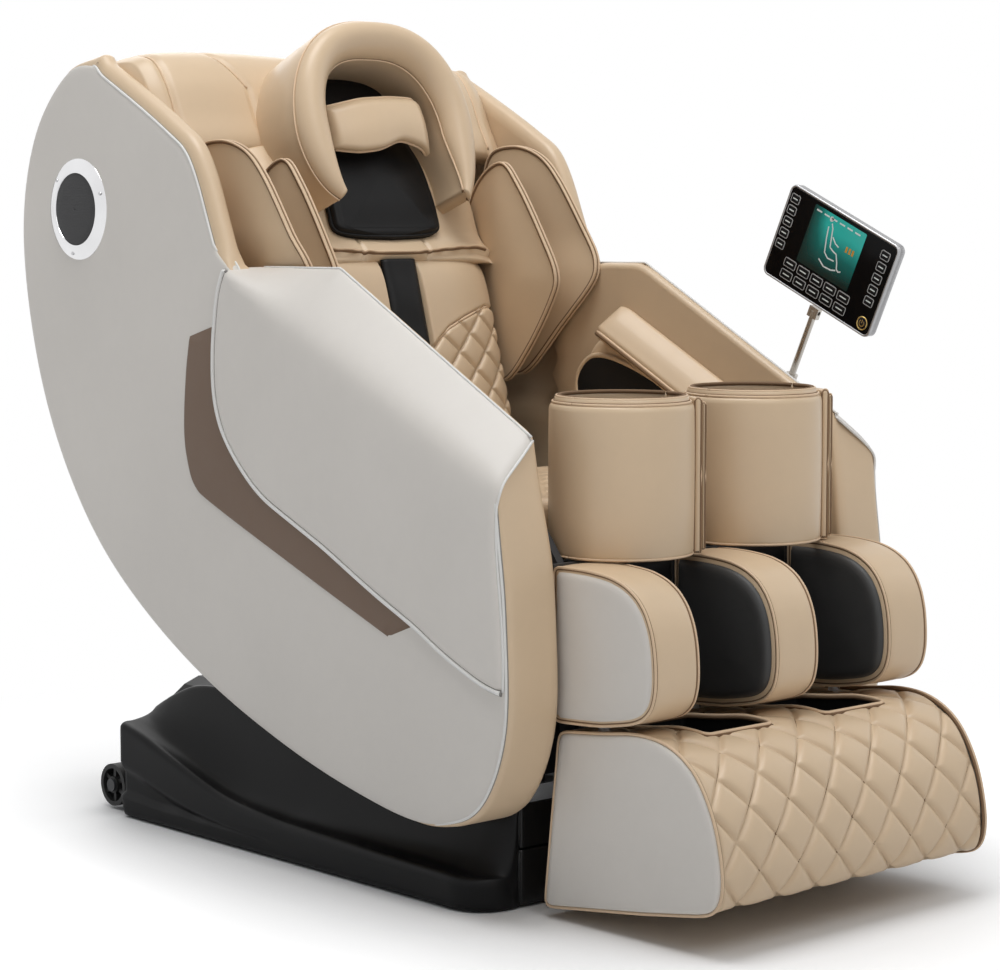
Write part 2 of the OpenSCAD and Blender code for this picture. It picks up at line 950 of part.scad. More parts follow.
calf_plate_y = -394;
calf_plate_t = 6;
leg_half = leg_w / 2;
outer_divider_x = leg_half - outer_divider_w;
channel_mid = (outer_divider_x + mid_divider_w / 2) / 2;
calf_top = 471;
calf_bottom = 262;
divider_outline = concat(
    [[calf_plate_y - seat_gap, calf_top]],
    curve([[-462, calf_top], [-528, 459], [-566, 428], [-582, 380], [-585, 328], [-566, 292],
        [-520, 277]], 3),
    [[-520, 277], [-485, 269], [calf_plate_y - seat_gap, calf_bottom + 2]]
);
slide_rod_x = leg_half - outer_divider_w / 2;
slide_rod_y = -452;
slide_rod_bottom = 110;
slide_rod_top = 410;
calf_arm_x = hinge_plate_x - 30;
calf_arm_w = 12;

module calf_frame() {
    shaft_half = hinge_plate_x + hinge_plate_t + 1;
    color(frame_steel)
        union() {
            both_sides()
                x_bar(knee_shaft_r, calf_arm_x - 3, shaft_half, knee);
            both_sides()
                side_extrude(calf_arm_x, calf_arm_x + calf_arm_w)
                    polygon([
                        knee + [-6, 12], knee + [12, 12], knee + [12, -16],
                        [calf_plate_y + calf_plate_t, 330], [calf_plate_y, 330],
                        [calf_plate_y, calf_top - 26]
                    ]);
            translate([-leg_half + 4, calf_plate_y, calf_bottom])
                cube([leg_w - 8, calf_plate_t, calf_top - calf_bottom]);
            side_extrude(leg_lane_x + rod_end_gap, leg_lane_x + rod_end_gap + crank_t)
                polygon([
                    [calf_plate_y + calf_plate_t - 1, calf_top - 8], leg_end + [10, 12],
                    leg_end + [10, -12], [calf_plate_y + calf_plate_t - 1, calf_top - 90]
                ]);
        }
}

module calf_dividers() {
    color(tan_leather) {
        calf_divider_block(-mid_divider_w / 2, mid_divider_w / 2);
        both_sides()
            difference() {
                calf_divider_block(outer_divider_x, leg_half);
                translate([slide_rod_x, slide_rod_y, calf_bottom - 30])
                    cylinder(r = slide_rod_r + running_gap, h = slide_rod_top - calf_bottom + 33);
            }
    }
}

module calf_divider_block(x0, x1) {
    side_extrude(x0, x1)
        polygon(divider_outline);
}

module calf_pads() {
    cheek = 14;
    outline = [
        [calf_plate_y - seat_gap, calf_top - 4], [-470, calf_top - 6], [-522, 450], [-548, 405],
        [-556, 350], [-545, 305], [-500, 281], [calf_plate_y - seat_gap, calf_bottom + 8]
    ];
    color(black_leather)
        both_sides() {
            side_extrude(mid_divider_w / 2 + seat_gap, mid_divider_w / 2 + cheek)
                polygon(outline);
            side_extrude(outer_divider_x - cheek, outer_divider_x - seat_gap)
                polygon(outline);
            side_extrude(mid_divider_w / 2 + cheek, outer_divider_x - cheek)
                polygon([
                    [calf_plate_y - seat_gap, calf_top - 4], [calf_plate_y - 16, calf_top - 8],
                    [calf_plate_y - 16, calf_bottom + 12],
                    [calf_plate_y - seat_gap, calf_bottom + 8]
                ]);
        }
}

wrap_x = 127;
wrap_y = -381;
wrap_z = calf_top + 2 * seat_gap;
tab_w = 16;
tab_t = 4.5;

// Half of a knee wrap's tube with its tab, the rear half for side 1, the front for side -1
module wrap_half(x, side) {
    translate([x, wrap_y, wrap_z]) {
        mirror([0, side == 1 ? 0 : 1, 0])
            translate([0, seat_gap / 2, 0]) {
                rotate_extrude(angle = 180)
                    translate([wrap_r - wrap_t, 0])
                        square([wrap_t, wrap_h]);
                translate([wrap_r - 2, 0, 4])
                    cube([tab_w + 2, tab_t, wrap_h - 8]);
            }
    }
}

module knee_wrap_left() {
    color(tan_leather)
        wrap_half(wrap_x, 1);
}

module knee_wrap_right() {
    color(tan_leather)
        wrap_half(-wrap_x, 1);
}

module knee_flap_left() {
    color(tan_leather)
        wrap_half(wrap_x, -1);
}

module knee_flap_right() {
    color(tan_leather)
        wrap_half(-wrap_x, -1);
}

// ---------------------------------------------------------------- foot rest

foot_top_line = [[-402, 252], [-480, 260], [-545, 268], [-600, 262], [-645, 236], [-676, 190],
    [-692, 140], [-697, 96], [-688, 66], [-664, 55]];
foot_under_line = [[-664, 55], [-560, 38], [-375, 13]];
foot_half = leg_half - 4;
foot_quilt = [73, 85];
foot_floor = 118;
toe_roof = 192;
foot_panel_t = 4;

// Length along the first i points of a line
function run(p, i) = i <= 0 ? 0 : norm(p[i] - p[i - 1]) + run(p, i - 1);

module foot_cover() {
    top = curve(foot_top_line, 3);
    across = 28;
    half = foot_half - foot_panel_t - seat_gap;
    rings = [
        for (i = [0 : across])
            let (x = -half + 2 * half * i / across)
            at_x(concat(
                [for (j = [0 : len(top) - 1])
                    let (
                        t = top[min(j + 1, len(top) - 1)] - top[max(j - 1, 0)],
                        d = j < 3 ? 0 : quilt(x, run(top, j), foot_quilt[0], foot_quilt[1], 7)
                    )
                    top[j] + d * [-t[1], t[0]] / norm(t)],
                foot_under_line
            ), x)
    ];
    color(tan_leather)
        difference() {
            skin([for (r = rings) backwards(r)]);
            both_sides() {
                foot_hollow(0);
                translate([slide_rod_x, slide_rod_y, slide_rod_bottom])
                    cylinder(r = slide_rod_r + running_gap, h = 300);
            }
        }
}

well_front = -560;
well_rear = -424;
toe_front = -655;
liner_t = 4;

// Hollow of one foot well, drawn in by d
module foot_hollow(d) {
    w = foot_well_w / 2 - d;
    translate([channel_mid - w, well_front + d, foot_floor + d])
        cube([2 * w, well_rear - well_front - 2 * d, 200]);
    translate([channel_mid - w, toe_front + d, foot_floor + d])
        cube([2 * w, well_rear - toe_front - 2 * d, toe_roof - foot_floor - 2 * d]);
}

module foot_wells() {
    color(black_leather)
        both_sides()
            difference() {
                intersection() {
                    foot_hollow(seat_gap);
                    translate([0, -700, 0])
                        cube([400, 400, 250]);
                }
                foot_hollow(liner_t);
            }
}

module foot_side_panels() {
    outline = concat(curve(foot_top_line, 3), foot_under_line);
    color(grey_leather)
        both_sides()
            side_extrude(foot_half - foot_panel_t, foot_half)
                polygon(outline);
}

module foot_slide_rods() {
    color(bright_steel)
        both_sides()
            translate([slide_rod_x, slide_rod_y, slide_rod_bottom + seat_gap])
                cylinder(r = slide_rod_r, h = slide_rod_top - slide_rod_bottom - seat_gap);
}

// ---------------------------------------------------------------- remote

pole_x = shell_out - 43;
pole_foot = at([-272, 680]);
pole_lean = 24.6;
pole_dir = [-sin(pole_lean), cos(pole_lean)];
socket_l = 24;
socket_r = 9;
socket_sunk = 12;
socket_floor = 4;
remote_hinge_r = 3;
hinge_s = pole_l + 2;
knuckle_w = 18;
fork_t = 6;
fork_gap = 1;

// Children drawn along +Z stand on the pole's line, from its foot
module on_pole(s) {
    translate([pole_x, 0, 0])
        along(pole_foot + s * pole_dir, pole_dir)
            children();
}

module pole_socket() {
    color(bright_steel)
        on_pole(-socket_sunk)
            difference() {
                cylinder(r = socket_r, h = socket_l);
                translate([0, 0, socket_floor])
                    cylinder(r = pole_r + running_gap, h = socket_l);
            }
}

module remote_pole() {
    start = socket_floor - socket_sunk + seat_gap;
    color(bright_steel)
        on_pole(0)
            difference() {
                union() {
                    translate([0, 0, start])
                        cylinder(r = pole_r, h = hinge_s - start);
                    translate([-4, -knuckle_w / 2, hinge_s - 10])
                        cube([8, knuckle_w, 16]);
                }
                translate([0, -knuckle_w, hinge_s])
                    rotate([-90, 0, 0])
                        cylinder(r = remote_hinge_r + running_gap, h = 2 * knuckle_w);
            }
}

remote_s = hinge_s + 12;
remote_rim = 3;
remote_corner = 9;
screen_t = 2;

// A slab of the remote's outline drawn in by d, t thick, its face at a depth from the front
module remote_slab(d, depth, t) {
    translate([depth - remote_t / 2, 0, remote_s + remote_h / 2])
        rotate([0, 90, 0])
            linear_extrude(t)
                union() {
                    w = remote_w / 2 - d;
                    h = remote_h / 2 - d;
                    c = remote_corner - d;
                    square([2 * h, 2 * (w - c)], center = true);
                    square([2 * (h - c), 2 * w], center = true);
                    for (x = [c - h, h - c])
                        for (y = [c - w, w - c])
                            translate([x, y])
                                circle(r = c);
                }
}

module remote_case() {
    fork_y = knuckle_w / 2 + fork_gap;
    color(bright_steel)
        on_pole(0) {
            difference() {
                remote_slab(0, 0, remote_t);
                remote_slab(remote_rim, -1, screen_t + 1);
            }
            for (y = [-fork_y - fork_t, fork_y])
                translate([-4, y, hinge_s - 6])
                    cube([8, fork_t, remote_s - hinge_s + 7]);
            translate([0, -fork_y - fork_t / 2, hinge_s])
                rotate([-90, 0, 0])
                    cylinder(r = remote_hinge_r, h = 2 * fork_y + fork_t);
        }
}

module remote_screen() {
    color(black_leather)
        on_pole(0)
            remote_slab(remote_rim + seat_gap, 0, screen_t - seat_gap);
}

// ---------------------------------------------------------------- base

rear_wall = 500;
pan_z = foot_h;
pan_top = pan_z + pan_t;
pan_half = 261;
pan_front = -300;
pan_rear = rear_wall - cover_t - seat_gap;
box_rail_x = 150;
box_rail_w = 40;
box_rail_top = pan_top + 30;
roller_radius_at = rail_r + roller_r + seat_gap;
bracket_t = 8;
bracket_gap = 4;
wheel_centre = [555, 38];
wheel_x = 284;
skirt_in = pan_half + seat_gap;

function roller_centre(a) = tilt_centre + roller_radius_at * [-sin(a), -cos(a)];

module roller_bracket(a) {
    c = roller_centre(a);
    inner = rail_x - rail_w / 2 - bracket_gap;
    outer = rail_x + rail_w / 2 + bracket_gap;
    for (x = [inner - bracket_t, outer])
        side_extrude(x, x + bracket_t)
            polygon([
                [c[0] - 34, pan_top - 1], [c[0] + 34, pan_top - 1], [c[0] + 14, c[1] + 12],
                [c[0] - 14, c[1] + 12]
            ]);
    x_bar(roller_pin_r, inner - 1, outer + 1, c);
}

lug_x = 246;
lug_t = 8;

module wheel_lug() {
    side_extrude(lug_x, lug_x + lug_t)
        polygon([
            [pan_rear - 40, pan_z], [pan_rear, pan_z], [wheel_centre[0] + 8, wheel_centre[1] - 12],
            [wheel_centre[0] + 12, wheel_centre[1] + 6], [wheel_centre[0] - 4, wheel_centre[1] + 14],
            [pan_rear - 40, pan_top + 30]
        ]);
    x_bar(wheel_axle_r, lug_x + 1, wheel_x + wheel_w + 2, wheel_centre);
    x_bar(wheel_axle_r + 4, wheel_x + wheel_w + 1, wheel_x + wheel_w + 4, wheel_centre);
}

module base_frame() {
    color(frame_steel)
        union() {
            translate([-pan_half, pan_front, pan_z])
                cube([2 * pan_half, pan_rear - pan_front, pan_t]);
            both_sides() {
                translate([box_rail_x, pan_front + 10, pan_top - 1])
                    cube([box_rail_w, pan_rear - pan_front - 20, box_rail_top - pan_top + 1]);
                roller_bracket(front_roller_angle);
                roller_bracket(rear_roller_angle);
                wheel_lug();
            }
            ears(recline_lane_x, recline_anchor, 20, pan_top - 1, false);
        }
}

module base_feet() {
    color(base_black)
        for (x = [-230, 230])
            for (y = [-262, 90, 440])
                translate([x, y, 0])
                    cylinder(r = 22, h = foot_h);
}

module rollers(a) {
    both_sides()
        difference() {
            x_bar(roller_r, rail_x - rail_w / 2 + 1, rail_x + rail_w / 2 - 1, roller_centre(a));
            x_bar(roller_pin_r + running_gap, rail_x - rail_w, rail_x + rail_w, roller_centre(a));
        }
}

module front_rollers() {
    color(bright_steel)
        rollers(front_roller_angle);
}

module rear_rollers() {
    color(bright_steel)
        rollers(rear_roller_angle);
}

// Stations of a base skirt, as [y, ridge height, rim height]
skirt_stations = [
    [-325, 47, 142], [-318, 48, 144], [-305, 49, 146], [-285, 50, 148], [-242, 52, 150],
    [-140, 54, 154], [-34, 57, 162], [60, 59, 178], [134, 63, 198], [250, 78, 212],
    [380, 116, 212], [450, 138, 192], [500, 149, 166]
];
base_corner_r = 55;

// Half width of the base at a place along Y, which its round front corners draw in
function base_half_at(y) =
    let (into = skirt_stations[0][0] + base_corner_r - y)
    base_w / 2 - base_corner_r
        + sqrt(pow(base_corner_r, 2) - pow(max(0, min(base_corner_r, into)), 2));

module base_skirt() {
    color(base_black)
        skin([
            for (s = skirt_stations)
                let (
                    y = s[0],
                    ridge = s[1],
                    rise = s[2] - ridge,
                    out = base_half_at(y),
                    w = out - skirt_in,
                    bulge = min(6, w / 10)
                )
                [
                    [out, y, 3], [out + bulge, y, ridge - 12], [out, y, ridge],
                    [skirt_in + 0.88 * w, y, ridge + 0.04 * rise],
                    [skirt_in + 0.42 * w, y, ridge + 0.22 * rise],
                    [skirt_in + 0.2 * w, y, ridge + 0.55 * rise],
                    [skirt_in + 0.1 * w, y, ridge + 0.97 * rise],
                    [skirt_in, y, ridge + rise], [skirt_in, y, 3]
                ]
        ]);
}

module base_skirt_left() {
    base_skirt();
}

module base_skirt_right() {
    mirror([1, 0, 0])
        base_skirt();
}

// Block between the skirts that closes the front of the base
module base_front_cover() {
    front = skirt_stations[0][0];
    depth = 83;
    half = skirt_in - seat_gap;
    top = 142;
    color(base_black)
        difference() {
            translate([-half, front, 3])
                cube([2 * half, depth, top - 3]);
            translate([cover_t - half, front + cover_t, -1])
                cube([2 * (half - cover_t), depth, top - cover_t + 1]);
            translate([-half - 1, pan_front - seat_gap, 0])
                cube([2 * half + 2, depth, pan_top + seat_gap]);
        }
}

inlet_w = 70;
inlet_z = 62;
inlet_h = 46;
inlet_front = 468;

rear_cover_rear = rear_wall;
rear_cover_front = 400;

// Draws its children from a front view outline, between two places along Y
module front_extrude(y0, y1) {
    multmatrix([[1, 0, 0, 0], [0, 0, 1, y0], [0, 1, 0, 0], [0, 0, 0, 1]])
        linear_extrude(y1 - y0)
            children();
}

// Front view outline of the base rear cover, drawn in by d
module rear_cover_outline(d) {
    half = skirt_in - seat_gap - d;
    side = [[half, 166 - d], [236, 178 - d], [215, 193 - d], [188, 203 - d]];
    polygon(concat(
        [[-half, 3], [half, 3]],
        side,
        [for (p = backwards(side)) [-p[0], p[1]]]
    ));
}

module base_rear_cover() {
    color(base_black)
        difference() {
            front_extrude(rear_cover_front, rear_cover_rear)
                rear_cover_outline(0);
            front_extrude(rear_cover_front - 1, rear_cover_rear - cover_t)
                rear_cover_outline(cover_t);
            translate([-half_w, rear_cover_front - 1, 0])
                cube([2 * half_w, rear_cover_rear - cover_t - rear_cover_front + 1, box_rail_top + 60]);
            translate([-inlet_w / 2 - seat_gap, inlet_front, inlet_z - seat_gap])
                cube([inlet_w + 2 * seat_gap, 60, inlet_h + 2 * seat_gap]);
            both_sides()
                translate([lug_x - seat_gap, rear_wall - cover_t - 10, 0])
                    cube([lug_t + 2 * seat_gap, 20, wheel_centre[1] + 14]);
        }
}

socket_c = [-14, 85];
rocker_x = 20;
rocker_r = 10;
rocker_w = 14;

module power_inlet() {
    color(base_black)
        difference() {
            union() {
                translate([-inlet_w / 2, inlet_front, inlet_z])
                    cube([inlet_w, rear_wall - inlet_front, inlet_h]);
                translate([-inlet_w / 2 - 3, rear_wall + seat_gap, inlet_z - 3])
                    cube([inlet_w + 6, 3, inlet_h + 6]);
                translate([-inlet_w / 2, rear_wall - 1, inlet_z])
                    cube([inlet_w, 3, inlet_h]);
            }
            translate([socket_c[0] - 13, rear_wall - 14, socket_c[1] - 9])
                cube([26, 30, 18]);
            translate([rocker_x - rocker_w / 2 - seat_gap, rear_wall, socket_c[1]])
                rotate([0, 90, 0])
                    cylinder(r = rocker_r + seat_gap, h = rocker_w + 2 * seat_gap);
        }
}

rocker_lean = 12;

module power_switch() {
    color("firebrick")
        translate([rocker_x, rear_wall, socket_c[1]])
            rotate([rocker_lean, 0, 0])
                difference() {
                    translate([-rocker_w / 2, 0, 0])
                        rotate([0, 90, 0])
                            cylinder(r = rocker_r, h = rocker_w);
                    translate([-rocker_w, 5.5, -1])
                        rotate([-rocker_lean, 0, 0])
                            cube([2 * rocker_w, 10, 30]);
                    translate([-rocker_w, 5.5, 1])
                        rotate([rocker_lean, 0, 0])
                            translate([0, 0, -30])
                                cube([2 * rocker_w, 10, 30]);
                }
}

module power_unit() {
    color(bright_steel)
        translate([72, -190, pan_top])
            cube([70, 170, 74]);
}

module air_pump() {
    color(base_black)
        translate([-142, -190, pan_top]) {
            cube([70, 150, 60]);
            translate([35, 75, 60])
                cylinder(r = 28, h = 34);
        }
}

wheel_hub_r = 13;

module transport_wheel() {
    color(base_black)
        translate([wheel_x, wheel_centre[0], wheel_centre[1]])
            rotate([0, 90, 0])
                difference() {
                    union() {
                        difference() {
                            cylinder(r = wheel_r, h = wheel_w);
                            translate([0, 0, -1])
                                cylinder(r = wheel_r - 7, h = wheel_w + 2);
                        }
                        cylinder(r = wheel_hub_r, h = wheel_w);
                        for (a = [0 : 60 : 300])
                            rotate([0, 0, a])
                                translate([wheel_hub_r - 3, -3, 4])
                                    cube([wheel_r - 7 - wheel_hub_r + 6, 6, wheel_w - 8]);
                    }
                    translate([0, 0, -1])
                        cylinder(r = wheel_axle_r + running_gap, h = wheel_w + 2);
                }
}

module transport_wheel_left() {
    transport_wheel();
}

module transport_wheel_right() {
    mirror([1, 0, 0])
        transport_wheel();
}

base_frame();
base_feet();
base_skirt_left();
base_skirt_right();
base_front_cover();
base_rear_cover();
power_inlet();
power_switch();
power_unit();
air_pump();
transport_wheel_left();
transport_wheel_right();
front_rollers();
rear_rollers();
recline_motor();
recline_rod();
seat_frame();
tilt_rails();
back_frame();
rear_cover();
side_shell_left();
side_shell_right();
arm_panel_left();
arm_panel_right();
shell_trims();
speaker_rings();
speaker_meshes();
seat_cushion();
back_cushion();
spine_strip();
upper_back_pad();
neck_pad();
head_pillow();
hood();
shoulder_pads_left();
shoulder_pads_right();
arm_linings();
arm_planks();
arm_airbags();
massage_rails();
massage_carriage();
kneading_rollers();
leg_motor();
leg_rod();
calf_frame();
calf_dividers();
calf_pads();
knee_wrap_left();
knee_wrap_right();
knee_flap_left();
knee_flap_right();
foot_cover();
foot_side_panels();
foot_wells();
foot_slide_rods();
pole_socket();
remote_pole();
remote_case();
remote_screen();
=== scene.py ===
"""Looks of the padded massage chair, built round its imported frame. Metres, +Z up, faces -Y."""

import math

import bmesh
import bpy
import numpy as np
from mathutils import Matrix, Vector
from mathutils.geometry import delaunay_2d_cdt


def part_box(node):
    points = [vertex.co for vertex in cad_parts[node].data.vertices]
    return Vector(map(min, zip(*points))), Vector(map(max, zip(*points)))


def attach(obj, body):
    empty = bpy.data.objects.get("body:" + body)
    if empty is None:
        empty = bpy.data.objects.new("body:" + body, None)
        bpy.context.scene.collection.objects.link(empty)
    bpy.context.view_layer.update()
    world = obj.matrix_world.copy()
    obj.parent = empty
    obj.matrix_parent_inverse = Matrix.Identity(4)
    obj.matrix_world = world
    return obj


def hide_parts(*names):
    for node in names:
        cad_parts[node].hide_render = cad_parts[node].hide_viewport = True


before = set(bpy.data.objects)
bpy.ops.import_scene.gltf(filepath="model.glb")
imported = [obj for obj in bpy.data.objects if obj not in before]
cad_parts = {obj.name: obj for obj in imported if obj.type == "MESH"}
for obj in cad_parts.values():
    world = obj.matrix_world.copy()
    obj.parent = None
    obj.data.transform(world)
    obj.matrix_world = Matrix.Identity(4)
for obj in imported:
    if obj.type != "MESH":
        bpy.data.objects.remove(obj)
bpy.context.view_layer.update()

SIDES = (("left", 1), ("right", -1))


# ---------------------------------------------------------------- outlines


def mm(points):
    """Points given in millimetres, in metres."""
    return np.array(points, float) / 1000


def spline(points, steps, closed=False):
    """A smooth curve through the points, with so many steps from each to the next."""
    p = np.array(points, float)
    count = len(p)
    out = []
    for i in range(count if closed else count - 1):
        near = [(i + k) % count if closed else min(max(i + k, 0), count - 1) for k in (-1, 0, 1, 2)]
        a, b, c, d = p[near]
        for t in np.arange(steps) / steps:
            bend = (c - a) * t + (2 * a - 5 * b + 4 * c - d) * t**2 + (3 * b - a - 3 * c + d) * t**3
            out.append(0.5 * (2 * b + bend))
    if not closed:
        out.append(p[-1])
    return np.array(out)


def resample(line, count, closed=False):
    """The line again, with evenly spaced points."""
    p = np.vstack([line, line[:1]]) if closed else np.asarray(line, float)
    run = np.concatenate([[0], np.cumsum(np.linalg.norm(np.diff(p, axis=0), axis=1))])
    s = np.linspace(0, run[-1], count + 1)[:-1] if closed else np.linspace(0, run[-1], count)
    return np.stack([np.interp(s, run, p[:, k]) for k in range(p.shape[1])], 1)


def evened(line, step, closed=False):
    """The line again, with points about a step apart."""
    p = np.vstack([line, line[:1]]) if closed else line
    length = np.linalg.norm(np.diff(p, axis=0), axis=1).sum()
    return resample(line, max(3, int(round(length / step))), closed)


def softened(line, times, closed=True):
    """The line with its corners rounded."""
    p = np.array(line, float)
    for _ in range(times):
        q = 0.25 * np.roll(p, 1, 0) + 0.5 * p + 0.25 * np.roll(p, -1, 0)
        if not closed:
            q[0], q[-1] = p[0], p[-1]
        p = q
    return p


def turned_in(outline):
    """Unit directions that point into a closed outline."""
    t = np.roll(outline, -1, 0) - np.roll(outline, 1, 0)
    t /= np.linalg.norm(t, axis=1)[:, None] + 1e-12
    x, y = outline.T
    area = np.sum(x * np.roll(y, -1) - y * np.roll(x, -1))
    return np.stack([-t[:, 1], t[:, 0]], 1) * np.sign(area)


def inset(outline, d):
    """A closed outline drawn in by d, or by as much as d gives at each point."""
    return outline + np.reshape(d, (-1, 1)) * turned_in(outline)


def distance(points, line, closed=False):
    """Distance of each point from a line."""
    a = np.asarray(line, float)
    b = np.roll(a, -1, 0) if closed else a[1:]
    a = a if closed else a[:-1]
    ab = b - a
    length2 = np.maximum((ab * ab).sum(-1), 1e-14)
    out = []
    for start in range(0, len(points), 2000):
        q = points[start : start + 2000, None] - a[None]
        t = np.clip((q * ab).sum(-1) / length2, 0, 1)
        out.append(np.sqrt(((q - t[..., None] * ab) ** 2).sum(-1)).min(1))
    return np.concatenate(out) if out else np.zeros(0)


def inside(points, outline):
    """Which points lie inside a closed outline."""
    x, y = points.T
    hit = np.zeros(len(points), bool)
    for (x0, y0), (x1, y1) in zip(outline, np.roll(outline, -1, 0)):
        if y0 == y1:
            continue
        crosses = (y0 > y) != (y1 > y)
        hit ^= crosses & (x < (x1 - x0) * (y - y0) / (y1 - y0) + x0)
    return hit


def smooth(t):
    """0 below 0, 1 above 1, and a smooth step between."""
    t = np.clip(t, 0, 1)
    return t * t * (3 - 2 * t)


# ---------------------------------------------------------------- meshes


def piece(name, verts, faces, material, body, stands_for=None, fill=None, smoothed=True):
    """A mesh piece that rides on a body. It may stand for a node. Its fill, how full a pad is, is not used.
    """
    mesh = bpy.data.meshes.new(name)
    mesh.from_pydata([tuple(map(float, v)) for v in verts], [], [tuple(map(int, f)) for f in faces])
    work = bmesh.new()
    work.from_mesh(mesh)
    bmesh.ops.remove_doubles(work, verts=work.verts, dist=1e-5)
    bmesh.ops.recalc_face_normals(work, faces=work.faces)
    work.to_mesh(mesh)
    work.free()
    mesh.materials.append(material)
    mesh.polygons.foreach_set("use_smooth", [smoothed] * len(mesh.polygons))
    obj = bpy.data.objects.new(name, mesh)
    bpy.context.scene.collection.objects.link(obj)
    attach(obj, body)
    if stands_for:
        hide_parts(stands_for)
    return obj


def for_both(sx, node):
    """A node that holds the solids of both sides: the left piece stands for it."""
    return node if sx > 0 else None


def at_x(x, line):
    """A line of the side view, (y, z), set at x from the middle."""
    return np.column_stack([np.broadcast_to(x, len(line)), line])


def joined(parts):
    """Several (verts, faces) as one."""
    verts, faces, base = [], [], 0
    for v, f in parts:
        verts.append(np.asarray(v, float))
        faces += [tuple(i + base for i in face) for face in f]
        base += len(v)
    return np.vstack(verts), faces


def lattice(rings, round_ring=True, round_all=False):
    """Faces over rows of points of equal length."""
    rings = np.asarray(rings, float)
    rows, n = rings.shape[:2]
    faces = []
    for r in range(rows if round_all else rows - 1):
        for i in range(n if round_ring else n - 1):
            j, q = (i + 1) % n, (r + 1) % rows
            faces.append((r * n + i, r * n + j, q * n + j, q * n + i))
    return rings.reshape(-1, 3), faces


def closed_loft(rings):
    """A lattice of closed rings with both ends closed."""
    verts, faces = lattice(rings)
    n = len(rings[0])
    last = len(verts) - n
    return verts, faces + [tuple(range(n - 1, -1, -1)), tuple(range(last, last + n))]


def slab(front, rear):
    """A closed pad between rows of points on its front and rows on its rear."""
    return closed_loft([np.vstack([f, r[::-1]]) for f, r in zip(front, rear)])


def tube(path, radius, sides=8, closed=False):
    """A round bead along a path, its ends drawn to a point."""
    p = np.asarray(path, float)
    t = np.roll(p, -1, 0) - np.roll(p, 1, 0) if closed else np.gradient(p, axis=0)
    t /= np.linalg.norm(t, axis=1)[:, None] + 1e-12
    normal = np.cross(t[0], [0.31, 0.17, 0.93])
    rings = []
    turn = np.linspace(0, 2 * math.pi, sides, endpoint=False)
    for point, way in zip(p, t):
        normal = normal - way * (normal @ way)
        normal /= np.linalg.norm(normal) + 1e-12
        across = np.cross(way, normal)
        rings.append(point + radius * (np.outer(np.cos(turn), normal) + np.outer(np.sin(turn), across)))
    if closed:
        return lattice(rings, round_all=True)
    return closed_loft(rings)


def fill(outline, step, seams=(), near=(0.0012, 0.003, 0.006, 0.011, 0.018)):
    """Points and triangles inside a closed outline, closer together at its edge and at its seams."""
    rings = [inset(outline, d) for d in near]
    loose = [ring[distance(ring, outline, True) > 0.93 * d] for ring, d in zip(rings, near)]
    for line in seams:
        run = evened(line, 0.005)
        way = np.gradient(run, axis=0)
        way /= np.linalg.norm(way, axis=1)[:, None]
        side = np.stack([-way[:, 1], way[:, 0]], 1)
        loose += [run + side * off for off in (-0.006, -0.003, -0.0013, 0, 0.0013, 0.003, 0.006)]
    low, high = outline.min(0), outline.max(0)
    xs, ys = np.arange(low[0], high[0], step), np.arange(low[1], high[1], step * 0.87)
    grid = np.array([(x + step / 2 * (k % 2), y) for k, y in enumerate(ys) for x in xs])
    away = distance(grid, outline, True) > near[-1] + step * 0.4
    for line in seams:
        away &= distance(grid, line) > 0.006 + step * 0.4
    loose.append(grid[away])
    loose = np.vstack(loose)
    loose = loose[inside(loose, outline)]
    loose = loose[distance(loose, outline, True) > near[0] * 0.9]
    points = np.vstack([outline, loose])
    n = len(outline)
    edges = [(i, (i + 1) % n) for i in range(n)]
    got = delaunay_2d_cdt([Vector(map(float, p)) for p in points], edges, [], 1, 1e-6)
    return np.array([(v.x, v.y) for v in got[0]]), [tuple(f) for f in got[2]]


def rim_of(faces):
    """The edges that only one face uses."""
    seen = {}
    for f in faces:
        for a, b in zip(f, f[1:] + f[:1]):
            seen.setdefault((min(a, b), max(a, b)), []).append((a, b))
    return [pairs[0] for pairs in seen.values() if len(pairs) == 1]


def round_in(d, reach):
    """0 at an edge, 1 at a distance of reach from it, rounded like a quarter turn."""
    return np.sqrt(np.clip(1 - (1 - np.clip(d / reach, 0, 1)) ** 2, 0, 1))


def swell(d, edge, rise, full, reach):
    """Height of a padded face at a distance d from its edge."""
    return rise * round_in(d, edge) + full * (1 - np.exp(-((d / reach) ** 2)))


def sunk(points, seams, depth=0.0018, width=0.0026):
    """Depth of the sewn seams at each point."""
    out = np.zeros(len(points))
    for line in seams:
        out = np.maximum(out, depth * np.exp(-((distance(points, line) / width) ** 2)))
    return out


def face_pad(outline, place, step=0.012, edge=0.005, rise=0.005, full=0.002, reach=0.06, seams=()):
    """A padded sheet inside an outline, set in space by place(u, v, height)."""
    points, faces = fill(outline, step, seams)
    h = swell(distance(points, outline, True), edge, rise, full, reach) - sunk(points, seams)
    return place(points[:, 0], points[:, 1], h), faces


def full_pad(outline, place, thick, step=0.012, edge=0.006, full=0.006, reach=0.05, seams=()):
    """A padded piece with two faces and a gusset between them, place() giving its middle plane."""
    points, faces = fill(outline, step, seams)
    rise = min(edge, thick * 0.3)
    h = thick / 2 - rise + swell(distance(points, outline, True), edge, rise, full, reach)
    front = place(points[:, 0], points[:, 1], h - sunk(points, seams))
    back = place(points[:, 0], points[:, 1], -h)
    n = len(points)
    sides = [(a, b, b + n, a + n) for a, b in rim_of(faces)]
    return np.vstack([front, back]), faces + [tuple(i + n for i in f) for f in faces] + sides


